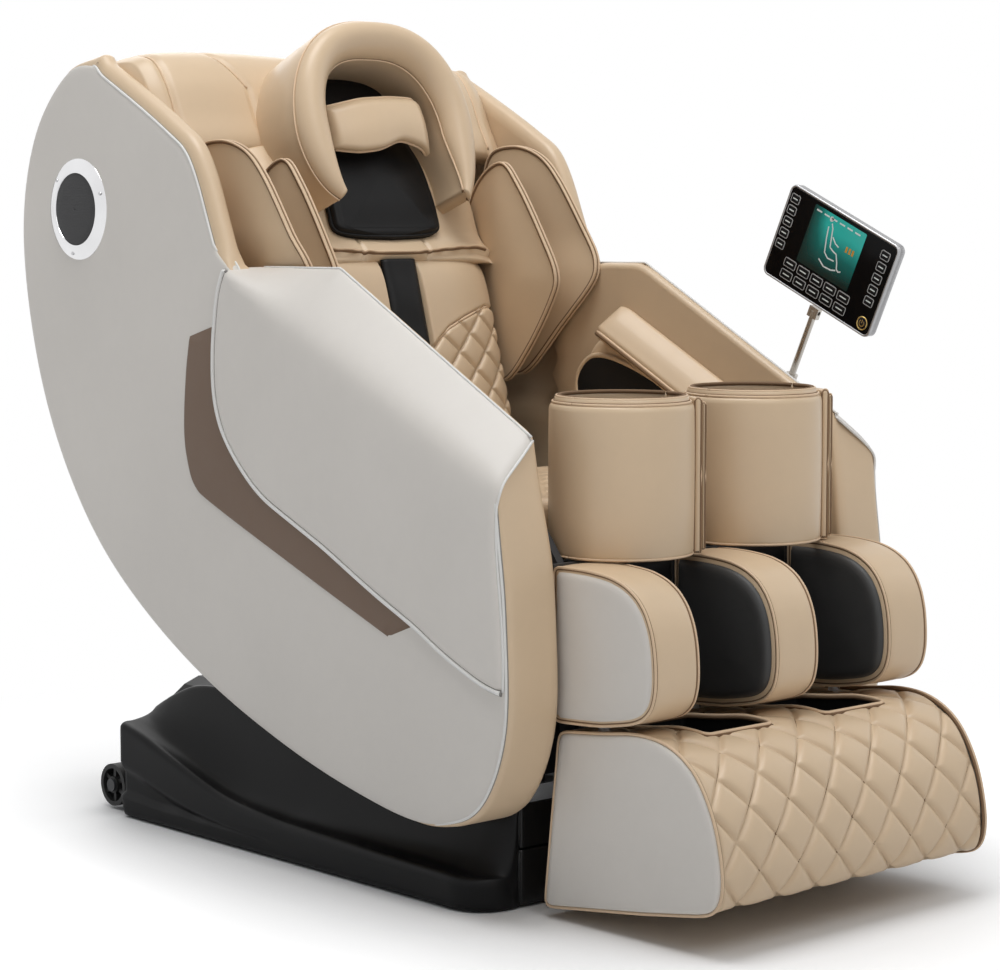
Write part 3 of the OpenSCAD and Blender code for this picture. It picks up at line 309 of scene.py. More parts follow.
def piped(name, lines, radius, finish, body, closed=False, shadow=0.0013):
    """Piping along lines of (path, way out), each bead lying in a dark tube wider by the shadow and sunk
    behind it: painted shade of its sewn crease.
    """
    beads, creases = [], []
    for path, out in lines:
        path = np.asarray(path, float)
        out = np.broadcast_to(np.asarray(out, float), path.shape)
        beads.append(tube(path + 0.0008 * out, radius, closed=closed))
        # The dark tube sunk behind the bead is painted shade in the sewn crease.
        creases.append(tube(path - (0.0010 + shadow) * out, radius + shadow, closed=closed))
    bead, crease_shade = finish
    piece(name, *joined(beads), bead, body)
    if shadow:
        piece(f"{name}_crease", *joined(creases), crease_shade, body)


def outwards(path, centre):
    """Unit directions from a centre to the points of a path."""
    away = np.asarray(path, float) - centre
    return away / (np.linalg.norm(away, axis=1)[:, None] + 1e-12)


def mirrored(sx, x, away=1):
    """Places for a pad on one side, x from the middle, its height going away from the middle or to it."""

    def place(y, z, h):
        """A place at (y, z), h out from the pad's flat side."""
        return np.column_stack([sx * (x + away * h), y, z])

    return place


# ---------------------------------------------------------------- materials


def feed(tree, node, given):
    """Give inputs of a node their values, or link them to the sockets that are given."""
    for label, value in given.items():
        if isinstance(value, bpy.types.NodeSocket):
            tree.links.new(value, node.inputs[label])
        else:
            node.inputs[label].default_value = value


def add(tree, kind, given=(), **settings):
    """A new shader node with its settings, and values or links for its inputs."""
    node = tree.nodes.new(f"ShaderNode{kind}")
    for label, value in settings.items():
        setattr(node, label, value)
    feed(tree, node, dict(given))
    return node


def maths(tree, what, a, b):
    """A Math node over two sockets or numbers."""
    return add(tree, "Math", {0: a, 1: b}, operation=what).outputs[0]


def noise(tree, where, scale, detail=2.0):
    """A noise pattern."""
    return add(tree, "TexNoise", {"Vector": where, "Scale": scale, "Detail": detail}).outputs["Fac"]


def ramp_of(tree, share, *stops):
    """A colour that goes through the stops, each a place from 0 to 1 and a colour."""
    ramp = add(tree, "ValToRGB", {"Fac": share})
    for element, (_, colour) in zip(ramp.color_ramp.elements, (stops[0], stops[-1])):
        element.color = (*colour, 1)
    for at, colour in stops[1:-1]:
        ramp.color_ramp.elements.new(at).color = (*colour, 1)
    return ramp.outputs["Color"]


def texture_group(name, gloss, **extra):
    """A node group for a surface, empty but for its sockets."""
    tree = bpy.data.node_groups.new(name, "ShaderNodeTree")
    inputs = {"Colour": (0.5, 0.5, 0.5, 1), "Gloss": gloss, **extra}
    for label, value in inputs.items():
        kind = "NodeSocketFloat" if isinstance(value, float) else "NodeSocketColor"
        tree.interface.new_socket(name=label, in_out="INPUT", socket_type=kind).default_value = value
    for label, kind in (("Colour", "Color"), ("Roughness", "Float"), ("Height", "Float")):
        tree.interface.new_socket(name=label, in_out="OUTPUT", socket_type=f"NodeSocket{kind}")
    where = add(tree, "TexCoord").outputs["Object"]
    return tree, tree.nodes.new("NodeGroupInput").outputs, where


def put_out(tree, given, shade, tints, pattern, unevenness, height):
    """The group's colour between two tints by a shade, its gloss uneven by a pattern, and its height."""
    spread = {"Value": shade, "From Min": 0.3, "From Max": 0.7, "To Min": tints[0], "To Max": tints[1]}
    tint = add(tree, "MapRange", spread).outputs[0]
    colour = add(tree, "VectorMath", {0: given["Colour"], "Scale": tint}, operation="SCALE")
    uneven = maths(tree, "MULTIPLY", maths(tree, "SUBTRACT", pattern, 0.5), unevenness)
    feed(tree, tree.nodes.new("NodeGroupOutput"), {
        "Colour": colour.outputs[0],
        "Roughness": maths(tree, "ADD", given["Gloss"], uneven),
        "Height": height,
    })


def leather_group():
    """Pebbled leather: a cell grain on soft creases, a little uneven in colour and gloss."""
    tree, given, where = texture_group("leather_grain", 0.42, Grain=620.0)
    cells = add(tree, "TexVoronoi", {"Vector": where, "Scale": given["Grain"]}, feature="SMOOTH_F1")
    broad = noise(tree, where, 4.0, 3.0)
    creases = noise(tree, where, 55.0, 4.0)
    grain = maths(tree, "MULTIPLY", cells.outputs["Distance"], 0.55)
    height = maths(tree, "ADD", maths(tree, "MULTIPLY", creases, 0.5), grain)
    broad, fine = maths(tree, "MULTIPLY", broad, 0.75), maths(tree, "MULTIPLY", creases, 0.25)
    put_out(tree, given, maths(tree, "ADD", broad, fine), (0.965, 1.03), creases, 0.22, height)
    return tree


def moulded_group():
    """Moulded or cast surfaces: fine texture and faint handling marks."""
    tree, given, where = texture_group("moulded_texture", 0.4, Fineness=900.0, Stretch=1.0)
    axes = add(tree, "CombineXYZ", {"X": given["Stretch"], "Y": 1, "Z": 1}).outputs[0]
    drawn = add(tree, "VectorMath", {0: where, 1: axes}, operation="MULTIPLY").outputs[0]
    fine = noise(tree, drawn, given["Fineness"])
    marks = noise(tree, where, 9.0, 5.0)
    put_out(tree, given, marks, (0.93, 1.07), marks, 0.3, fine)
    return tree


def new_material(name):
    """A material, with its nodes and its Principled shader."""
    made = bpy.data.materials.new(name)
    made.use_nodes = True
    return made, made.node_tree, made.node_tree.nodes["Principled BSDF"]


def finish_of(name, group, colour, bump, depth, group_values, **plain):
    """A Principled material whose colour, gloss and bump come from a group."""
    made, tree, shader = new_material(name)
    texture = add(tree, "Group", {"Colour": (*colour, 1), **group_values}, node_tree=group).outputs
    relief = add(tree, "Bump", {"Strength": bump, "Distance": depth, "Height": texture["Height"]})
    feed(tree, shader, {
        "Base Color": texture["Colour"],
        "Roughness": texture["Roughness"],
        "Normal": relief.outputs[0],
        **{label.replace("_", " "): value for label, value in plain.items()},
    })
    return made


LEATHER = leather_group()
MOULDED = moulded_group()


def leather(name, colour, gloss=0.42, bump=0.16, specular=0.35):
    """A leather of one colour."""
    return finish_of(name, LEATHER, colour, bump, 0.0005, {"Gloss": gloss}, Specular_IOR_Level=specular)


def moulded(name, colour, gloss=0.38, bump=0.12, fineness=900.0, **plain):
    """A moulded plastic or rubber."""
    return finish_of(name, MOULDED, colour, bump, 0.0002, {"Gloss": gloss, "Fineness": fineness}, **plain)


def metal(name, colour, gloss=0.22, stretch=1.0):
    """A metal, brushed across where it is stretched."""
    values = {"Gloss": gloss, "Fineness": 300.0, "Stretch": stretch}
    return finish_of(name, MOULDED, colour, 0.05, 0.0001, values, Metallic=1.0)


TAN = leather("tan_leather", (0.650, 0.492, 0.330), 0.37, specular=0.5)
TAN_TRIM = leather("tan_piping", (0.69, 0.51, 0.345))
# Dark tan leather for the tubes that paint the shade in sewn creases and quilt seams.
TAN_CREASE_SHADE = leather("tan_painted_crease_shade", (0.22, 0.14, 0.085), 0.7, specular=0.1)
GREY = leather("grey_leather", (0.680, 0.645, 0.602), bump=0.1, specular=0.4)
GREY_TRIM = leather("grey_piping", (0.76, 0.75, 0.73), 0.45)
# Dark grey leather for the tubes that paint the shade in the creases of grey piping.
GREY_CREASE_SHADE = leather("grey_painted_crease_shade", (0.27, 0.26, 0.245), 0.7, specular=0.1)
BROWN = leather("brown_leather", (0.165, 0.108, 0.074), 0.5)
BLACK = leather("black_leather", (0.0085, 0.0085, 0.009), bump=0.25, specular=0.16)
# A lighter copy of the black leather for the calf cheeks: its raised colour is a painted highlight for the
# light they catch.
CALF_BLACK_PAINTED_HIGHLIGHT = leather("calf_leather_painted_highlight", (0.037, 0.037, 0.037), 0.48, bump=0.25, specular=0.45)
BASE = moulded("base_plastic", (0.009, 0.009, 0.0095), 0.36, 0.1, Specular_IOR_Level=0.13)
BASE_GLOSS = moulded("gloss_plastic", (0.0125, 0.0125, 0.013), 0.2, 0.03, Specular_IOR_Level=0.3)
RUBBER = moulded("wheel_rubber", (0.012, 0.012, 0.012), 0.55, 0.3, 500.0)
STEEL = moulded("painted_steel", (0.05, 0.052, 0.056), 0.42, 0.2, 700.0)
BRIGHT = metal("bright_steel", (0.55, 0.55, 0.56), 0.3, 0.05)
CHROME = metal("chrome", (0.78, 0.78, 0.79), 0.12)
RED = moulded("switch_plastic", (0.45, 0.02, 0.015), 0.3)
FACE_GLASS = moulded("gloss_black", (0.003, 0.003, 0.0035), 0.12, 0.0, Specular_IOR_Level=0.1)
KEY_LINE = moulded("key_outline", (0.42, 0.42, 0.42), 0.35, 0.0)
KEY_FACE = moulded("key_face", (0.006, 0.006, 0.007), 0.3, 0.05, Specular_IOR_Level=0.15)
GLYPH = moulded("white_glyph", (0.7, 0.75, 0.74), 0.4, 0.0)
AMBER = moulded("amber_glyph", (0.62, 0.29, 0.03), 0.4, 0.0)
RIM = metal("rim_metal", (0.40, 0.40, 0.41), 0.3)
POLE_METAL = metal("pole_metal", (0.52, 0.49, 0.45), 0.3)
GOLD = metal("gold_ring", (0.62, 0.45, 0.16), 0.25)

POLE_FOOT = np.array([-0.272, 0.680])
POLE_DIR = np.array([-math.sin(math.radians(24.6)), math.cos(math.radians(24.6))])
POLE_ACROSS = np.array([POLE_DIR[1], -POLE_DIR[0]])
POLE_X = 0.326
POLE_LENGTH = 0.192
REMOTE_X = POLE_X - 0.008
REMOTE_WIDE, REMOTE_TALL, REMOTE_UP = 1.06, 1.08, 0.004


def screen_glass():
    """Lit display: teal, brighter at its top and its right, under a gloss cover."""
    made, tree, shader = new_material("teal_screen")
    where = add(tree, "TexCoord").outputs["Object"]

    def rising(along, start, length):
        """0 to 1 along a direction on the remote's face."""
        reach = add(tree, "VectorMath", {0: where, 1: (0, *along)}, operation="DOT_PRODUCT")
        rise = {"Value": reach.outputs["Value"], "From Min": start, "From Max": start + length}
        return add(tree, "MapRange", rise).outputs[0]

    middle = POLE_FOOT + POLE_LENGTH * POLE_DIR
    up = rising(POLE_DIR, middle @ POLE_DIR - 0.018, 0.066)
    right = rising(-POLE_ACROSS, -middle @ POLE_ACROSS - 0.060, 0.036)
    shimmer = maths(tree, "MULTIPLY", noise(tree, where, 60.0, 3.0), 0.10)
    level = maths(tree, "ADD", maths(tree, "MULTIPLY", up, right), shimmer)
    dark, teal, bright = (0.001, 0.003, 0.003), (0.0, 0.075, 0.066), (0.012, 0.26, 0.225)
    colour = ramp_of(tree, level, (0, dark), (0.5, teal), (1, bright))
    feed(tree, shader, {
        "Base Color": colour, "Emission Color": colour, "Emission Strength": 0.55, "Roughness": 0.12,
    })
    return made


def perforated_cloth():
    """Black speaker cloth with round holes in rows, the holes painted darker as painted shade inside them.
    """
    made, tree, shader = new_material("speaker_cloth")
    where = add(tree, "TexCoord").outputs["Object"]
    flat = add(tree, "VectorMath", {0: where, 1: (0, 1, 1)}, operation="MULTIPLY").outputs[0]
    holes = add(tree, "TexVoronoi", {"Vector": flat, "Scale": 420.0, "Randomness": 0.0})
    edge = {"Value": holes.outputs["Distance"], "From Min": 0.22, "From Max": 0.36}
    cloth = add(tree, "MapRange", edge).outputs[0]
    relief = add(tree, "Bump", {"Strength": 0.5, "Distance": 0.0006, "Height": cloth})
    # The holes are painted darker than the cloth: painted shade inside them.
    feed(tree, shader, {
        "Base Color": ramp_of(tree, cloth, (0, (0.003, 0.003, 0.003)), (1, (0.022, 0.022, 0.024))),
        "Normal": relief.outputs[0],
        "Roughness": 0.6,
    })
    return made


SCREEN = screen_glass()
CLOTH_HOLES = perforated_cloth()
TAN_PIPED = (TAN_TRIM, TAN_CREASE_SHADE)
GREY_PIPED = (GREY_TRIM, GREY_CREASE_SHADE)
SLOTS = {
    "tan_leather": (TAN, TAN_TRIM, TAN_CREASE_SHADE),
    "grey_leather": (GREY, GREY_TRIM, GREY_CREASE_SHADE),
    "brown_leather": (BROWN,),
    "black_leather": (BLACK, CALF_BLACK_PAINTED_HIGHLIGHT),
    "base_plastic": (BASE, BASE_GLOSS, CLOTH_HOLES),
    "bright_steel": (BRIGHT, CHROME),
    "chrome": (RIM, GOLD, KEY_LINE, GLYPH),
    "gloss_black": (FACE_GLASS, KEY_FACE, AMBER, SCREEN),
}
SLOT_OF = {material.name: slot for slot, finishes in SLOTS.items() for material in finishes}

# ---------------------------------------------------------------- side shells

REAR_LINE = mm([
    (483, 1162), (580, 1133), (668, 1040), (704, 891), (670, 698), (590, 532), (463, 390),
    (260, 263), (23, 173), (-195, 123), (-300, 122), (-376, 160), (-422, 265), (-421, 415),
    (-410, 510), (-386, 642),
])
WING_LINE = mm([
    (167, 847), (197, 917), (226, 984), (256, 1028), (300, 1056), (352, 1085), (420, 1120), (483, 1151),
])
POCKET = mm([
    (205, 640), (205, 838), (128, 838), (128, 1212), (575, 1212), (575, 1000), (520, 640)
])
SHELL_IN = 0.285
SHELL_OUT = 0.3672
FACE_X = 0.3674
FACE_DROP = 0.002
WING_IN = 0.332
TRIM_X = 0.3706
SPEAKER_X = 0.3685
COVER_OUT = 0.3765
COVER_CREST_X = 0.300


def crest_z(y):
    """Height of the arm's inner top edge."""
    rise = 0.642 + (y + 0.386) * (0.208 / 0.386)
    return np.where(y < 0, rise, 0.850 - 0.001 * np.clip(y / 0.148, 0, 1))


def bevel_z(y):
    """Height where the arm's slanted top meets its side."""
    return np.minimum(0.585 + (y + 0.406) * 0.455, crest_z(y) - 0.0005)


def cover_slope(y):
    """Fall of the arm's slanted top from the crest to the bevel, and its length."""
    drop = crest_z(y) - bevel_z(y)
    return drop, np.hypot(COVER_OUT - COVER_CREST_X, drop)


def cover_bend(y):
    """How softly the arm's top turns into its side, crisper towards the wing."""
    return 0.022 - 0.019 * smooth((y - 0.03) / 0.11)


def cover_top(x, y):
    """Height of the arm cover at a distance from the middle of the chair."""
    drop, length = cover_slope(y)
    back = max(COVER_OUT - x, 0.0015) * length / (COVER_OUT - COVER_CREST_X)
    return np.minimum(bevel_z(y) + back * drop / length - cover_bend(y) ** 2 / (4 * back), crest_z(y))


def shell_outline(x, gap):
    """Side view of a shell at a distance from the middle, its arm kept under the cover by a gap."""
    share = np.clip((x - 0.302) / 0.0675, 0, 1)
    nose_y = -0.386 - 0.018 * share
    nose = (nose_y, float(cover_top(x, nose_y)) - gap)
    rear = spline(np.vstack([REAR_LINE[:-1], nose]), 10)
    y = np.linspace(nose_y, 0.167, 42)[1:-1]
    under = gap + 0.007 * smooth((y - 0.08) / 0.05)
    return np.vstack([rear, np.column_stack([y, cover_top(x, y) - under]), spline(WING_LINE, 8)[:-1]])


def shell_inner_x(points):
    """Inner face of a shell, further out above the arm than below it."""
    signed = distance(points, POCKET, True) * np.where(inside(points, POCKET), 1, -1)
    low = 0.008 * smooth((0.60 - points[:, 1]) / 0.14)
    return SHELL_IN - low + (WING_IN - SHELL_IN) * smooth(0.5 + signed / 0.02)


def on_wing(points):
    """1 on the edge of the wing above the arm, 0 elsewhere."""
    return smooth((points[:, 1] - 0.850) / 0.03) * smooth((0.56 - points[:, 0]) / 0.08)


def shell_band(sx):
    """Tan band round the edge of a shell, full in its middle, with the shell's inner face."""
    ends = ((0.018, 6.0), (0.06, 2.2)), ((0.93, 0.8), (0.965, 2.6), (0.985, 5.0), (1.0, 10.0))
    rows = (*ends[0], *((t, 0.0) for t in (0.13, 0.22, 0.36, 0.5, 0.64, 0.78, 0.88)), *ends[1])
    rings = []
    for t, drawn in rows:
        x = SHELL_IN + (SHELL_OUT - SHELL_IN) * t
        line = softened(shell_outline(x, 0.0006 + 0.003 * smooth((x - 0.296) / 0.008)), 1)
        if not rings:
            inner_x = shell_inner_x(inset(line, 0.004))
        line = inset(line, drawn / 1000 + 0.015 * abs(2 * t - 1) ** 3 * on_wing(line))
        rings.append(at_x(sx * (inner_x + (SHELL_OUT - inner_x) * t), line))
    points, faces = fill(rings[0][:, 1:], 0.03, near=(0.004, 0.012))
    x = shell_inner_x(points)
    x[: len(inner_x)] = inner_x
    wall = at_x(sx * (x + rows[0][0] * (SHELL_OUT - x)), points), faces
    return joined([lattice(rings), wall])


def shell_face(sx):
    """Grey outer face of a shell, drawn over its rear edge and sewn to the band at its front and wing."""
    edge = evened(softened(shell_outline(0.3655, 0.012), 2), 0.008, True)

    def stops_short(points):
        """1 where the face ends at the shell's edge and isn't drawn over it: its front, and its wing."""
        front = smooth((-0.17 - points[:, 0]) / 0.16) * (points[:, 1] < 0.66)
        return front, on_wing(points)

    front, wing = stops_short(edge)
    line = inset(edge, 0.0015 + 0.0050 * front + 0.0165 * wing)
    line = evened(softened(line, 1), 0.008, True)
    over = 1 - np.maximum(*stops_short(line))
    points, faces = fill(line, 0.026, near=(0.0015, 0.004, 0.008, 0.014, 0.022))
    d = distance(points, line, True)
    k = 1 - np.maximum(*stops_short(points))
    x = FACE_X - FACE_DROP * k + (0.0026 + 0.0012 * k) * round_in(d, 0.014)
    x += 0.0017 * (1 - np.exp(-((d / 0.12) ** 2)))
    x[: len(line)] = FACE_X - FACE_DROP * over
    rows = [at_x(sx * x[: len(line)], line)]
    for out, back, drop in mm([(1.3, 2, 0.4), (2.3, 8.5, 1.0), (2.5, 14.5, 1.8), (0.7, 16, 2.6)]):
        ring = inset(line, -out * over - 0.0002)
        rows.append(at_x(sx * (FACE_X - (FACE_DROP + back) * over - drop * (1 - over)), ring))
    face = joined([(at_x(sx * x, points), faces), lattice(rows)])
    path = at_x(sx * (SHELL_OUT - 0.0165 * over), inset(line, -0.0022 * over))
    aim = at_x(sx * (1 - over), -turned_in(line) * over[:, None])
    return face, (path, aim / np.linalg.norm(aim, axis=1)[:, None])


COVER_SEAM = mm([
    (166, 848), (182, 812), (191, 762), (194.5, 720), (193.5, 679), (185, 642), (165, 605), (127, 565),
    (80, 531), (12, 501), (-54, 473), (-119, 442), (-175, 416), (-244, 386), (-297, 359), (-343, 339),
    (-382, 325), (-411, 319),
])
COVER_FRONT = mm([(-415, 318), (-415, 365), (-411, 420), (-405, 470), (-401, 513), (-400, 555)])
TRIM_INNER = mm([
    (197, 766), (197.8, 720), (197, 678), (188, 640), (168, 602), (129.5, 561), (82, 527), (13.5, 497),
    (-52.5, 469), (-117.5, 438.5), (-173.5, 412.5), (-240, 383),
])
TRIM_OUTER = mm([
    (-187, 363), (-2, 431), (199, 507), (247, 532), (266, 570), (273, 618), (267, 695), (257, 749),
])


def on_cover(y, w, h):
    """A place on the arm cover, w down from the crest round the bevel, and h out from it."""
    drop, length = cover_slope(y)
    across = COVER_OUT - COVER_CREST_X
    u = w - length
    turn = np.sqrt(u * u + cover_bend(y) ** 2)
    before, after = (u - turn) / 2, (u + turn) / 2
    x = COVER_OUT + before * across / length
    z = bevel_z(y) - before * drop / length - after
    bend = np.clip((1 + u / turn) / 2, 0, 1)
    nx = drop / length * (1 - bend) + bend
    nz = across / length * (1 - bend)
    size = np.hypot(nx, nz)
    return np.column_stack([x + h * nx / size, y, z + h * nz / size])


def cover_w(y, z):
    """Distance down the arm cover of a place on its side."""
    return cover_slope(y)[1] + bevel_z(y) - z


NOSE = mm([(-403.5, 97), (-402.5, 75), (-399, 45), (-394.5, 20), (-390, 0)])
CREST_FRONT, CREST_REAR = NOSE[-1, 0], 0.172


def cover_edges():
    """Edges of the arm cover as places (y, w): crest, rear, sewn edge, front and nose."""
    seam = evened(spline(COVER_SEAM, 6), 0.006)
    front = evened(spline(COVER_FRONT, 4), 0.006)
    sewn = np.column_stack([seam[:, 0], np.maximum(cover_w(*seam.T), 0.074)])
    front = np.column_stack([front[:, 0], cover_w(*front.T)])
    nose = evened(spline(np.vstack([front[-1], NOSE]), 4), 0.006)
    rear = evened(np.array([(CREST_REAR, 0), (CREST_REAR, 0.040), sewn[0]]), 0.007)
    crest_y = np.linspace(CREST_FRONT, CREST_REAR, 80)
    return np.column_stack([crest_y, np.zeros(len(crest_y))]), rear, sewn, front, nose


def arm_cover(sx):
    """Grey cover over the arm's slanted top and side, and the lines of its piping."""
    crest, rear, sewn, front, nose = cover_edges()
    outline = np.vstack([edge[:-1] for edge in (crest, rear, sewn, front, nose)])
    points, faces = fill(outline, 0.016, near=(0.0015, 0.0035, 0.006, 0.010, 0.016))
    face_edge = np.vstack([front, nose[1:]])
    low = 0.0050 * (1 - round_in(distance(points, sewn), 0.009))
    low = np.maximum(low, 0.0080 * (1 - round_in(distance(points, face_edge), 0.014)))
    low = np.maximum(low, 0.0012 * (1 - round_in(distance(points, crest), 0.008)))
    flip = np.array([sx, 1, 1])
    sheet = on_cover(points[:, 0], points[:, 1], -low)
    start = len(crest) + len(rear) - 2
    aside = sewn - 0.0025 * turned_in(outline)[start : start + len(sewn)]
    beads = []
    for line, h in ((aside, -0.0030), (face_edge, -0.0066)):
        beads.append((on_cover(*line.T, h), on_cover(*line.T, h + 1)))
    edge = on_cover(*crest.T, -0.0012)
    beads.append((edge, edge + (0, 0, 1)))
    return (sheet * flip, faces), [(path * flip, (far - path) * flip) for path, far in beads]


def side_shells():
    """Both shells with their faces, arm covers, trims and piping."""
    strip = np.vstack([evened(spline(line, 5), 0.006) for line in (TRIM_INNER, TRIM_OUTER)])
    for side, sx in SIDES:
        piece(f"shell_band_{side}", *shell_band(sx), TAN, "cabin", f"side_shell_{side}")
        face, rim = shell_face(sx)
        piece(f"shell_face_{side}", *face, GREY, "cabin")
        piped(f"shell_piping_{side}", [rim], 0.0019, GREY_PIPED, "cabin", True, 0.0004)
        cover, lines = arm_cover(sx)
        piece(f"arm_cover_{side}", *cover, GREY, "cabin", f"arm_panel_{side}")
        kinds = (("seam", 0.0031, 0.0014), ("nose", 0.0018, 0.0), ("crest", 0.0018, 0.0))
        for (kind, radius, shadow), line in zip(kinds, lines):
            piped(f"arm_{kind}_piping_{side}", [line], radius, GREY_PIPED, "cabin", shadow=shadow)
        trim = face_pad(strip, mirrored(sx, TRIM_X), 0.02, 0.003, 0.0022, 0.0008, 0.03)
        piece(f"side_trim_{side}", *trim, BROWN, "cabin", for_both(sx, "shell_trims"))


# ---------------------------------------------------------------- speakers and remote


SPEAKER = (0.540, 0.931)
BEZEL = mm([
    (54.0, 0.5), (76.4, 0.5), (76.4, 2.6), (75.6, 3.4), (72.5, 3.9), (60.5, 8.6), (58.0, 9.4),
    (55.4, 9.4), (54.0, 8.6),
])
DOME = mm([(54.2, 2.0), (54.2, 7.0), (52.0, 8.0), (40, 8.9), (22, 9.4), (1, 9.5)])
SCREW = mm([(2.6, 4.0), (2.6, 7.0), (2.0, 7.6), (1.1, 7.4), (0.05, 6.6)])
SCREW_RADIUS = 0.0675


def turned(profile, centre, sx, sides=72, closed=False):
    """A profile of (radius, height out from the shell), turned about a centre (y, z)."""
    r, h = profile.T
    rings = []
    for a in np.linspace(0, 2 * math.pi, sides, endpoint=False):
        y, z = centre[0] + r * math.cos(a), centre[1] + r * math.sin(a)
        rings.append(np.column_stack([sx * (SPEAKER_X + h), y, z]))
    return lattice(rings, round_ring=closed, round_all=True)


def speakers():
    """Bright bezels with screws round a domed, perforated cover."""
    for side, sx in SIDES:
        bezel, dome = turned(BEZEL, SPEAKER, sx, closed=True), turned(DOME, SPEAKER, sx)
        piece(f"speaker_bezel_{side}", *bezel, CHROME, "cabin", for_both(sx, "speaker_rings"))
        piece(f"speaker_cover_{side}", *dome, CLOTH_HOLES, "cabin", for_both(sx, "speaker_meshes"))
        screws = []
        for a in np.radians((40, 160, 280)):
            spot = SPEAKER[0] + SCREW_RADIUS * math.cos(a), SPEAKER[1] + SCREW_RADIUS * math.sin(a)
            screws.append(turned(SCREW, spot, sx, 16))
        piece(f"speaker_screws_{side}", *joined(screws), BRIGHT, "cabin")


def on_remote(u, v, out):
    """A place on the remote: u to its right and v up from its middle, out from its face."""
    base = POLE_FOOT + POLE_LENGTH * POLE_DIR
    u, v = REMOTE_WIDE * np.atleast_1d(u).astype(float), REMOTE_TALL * np.atleast_1d(v).astype(float)
    v = v + REMOTE_UP
    yz = base - np.outer(u, POLE_ACROSS) + np.outer(v, POLE_DIR)
    return at_x(REMOTE_X - out, yz)


def rounded(w, h, r, steps=6):
    """A rounded rectangle about the middle."""
    out = []
    for cx, cy, start in ((1, 1, 0), (-1, 1, 90), (-1, -1, 180), (1, -1, 270)):
        for a in np.radians(start + np.linspace(0, 90, steps)):
            out.append((cx * (w / 2 - r) + r * math.cos(a), cy * (h / 2 - r) + r * math.sin(a)))
    return np.array(out)


def plate(outline, low, high, bevel=0.0):
    """A flat plate on the remote's face."""
    rings = [on_remote(*outline.T, low), on_remote(*outline.T, high - bevel)]
    if bevel:
        rings.append(on_remote(*inset(outline, bevel).T, high))
    return closed_loft(rings)


def outline_frame(outline, width, low, high):
    """A raised line round an outline on the remote's face."""
    inner = inset(outline, width)
    rings = [on_remote(*p.T, h) for p, h in ((outline, low), (outline, high), (inner, high), (inner, low))]
    return lattice(rings, round_all=True)


def stroke(points, width, low, high):
    """A drawn line on the remote's face."""
    p = np.array(points, float)
    t = np.gradient(p, axis=0)
    t /= np.linalg.norm(t, axis=1)[:, None]
    side = np.column_stack([-t[:, 1], t[:, 0]]) * width / 2
    return plate(np.vstack([p + side, (p - side)[::-1]]), low, high)


KEY_H, KEY_STEP = 0.0125, 0.0165
KEYS = [(-0.0905, 0.0485 - KEY_STEP * i, 0.0165, KEY_H) for i in range(5)]
KEYS += [(0.0865, 0.046 - KEY_STEP * i, 0.0165, KEY_H) for i in range(5)]
KEYS += [(-0.062 + 0.0265 * i, -0.0345 - KEY_STEP * k, 0.0225, KEY_H) for k in range(2) for i in range(5)]
SITTER = [
    [(-20, 46), (-16, 40), (-13, 28), (-10, 16)],
    [(-10, 16), (-2, 13), (4, 12)],
    [(4, 12), (10, 2), (13, -6)],
    [(13, -6), (17, -8), (21, -6)],
    [(-24, 40), (-21, 24), (-16, 6), (-8, 1), (4, 2)],
    [(-22, -6), (-10, -12), (4, -11), (12, -8)],
    [(-11, 30), (-3, 24), (4, 22)],
]
DIAL = np.array([0.089, -0.0505])
GLASS_TOP, DISPLAY_TOP, DIAL_TOP = 0.0004, 0.0008, 0.0016


def display():
    """Lit display with a plain seat outline, a bar of marks and a gauge."""
    screen = rounded(0.100, 0.083, 0.002) + (-0.004, 0.0165)
    piece("remote_display", *plate(screen, GLASS_TOP, DISPLAY_TOP), SCREEN, "remote", smoothed=False)
    level = DISPLAY_TOP, DISPLAY_TOP + 0.0002
    marks = [stroke(mm(s) + (0.004, 0), 0.0019, *level) for s in SITTER]
    for u in -0.044 + 0.015 * np.arange(6):
        marks.append(stroke([(u - 0.005, 0.052), (u, 0.052), (u + 0.005, 0.052)], 0.0022, *level))
    marks.append(plate(rounded(0.007, 0.007, 0.0034, 6) + (-0.019, 0.051), *level))
    bars = [stroke([(u, 0.021), (u, 0.029)], 0.0035, *level) for u in 0.022 + 0.006 * np.arange(3)]
    return marks, bars


REMOTE_BODY = (0.210, 0.132, 0.010)
REMOTE_SECTION = mm([
    (2.5, -16), (0.8, -15.6), (0, -14), (0, -5.5), (-0.6, -4.8), (-0.6, -1.2), (0, 0.2), (1.2, 0.5),
    (2.4, 0.2), (2.8, -0.8),
])
DIAL_WIDE = 0.0185


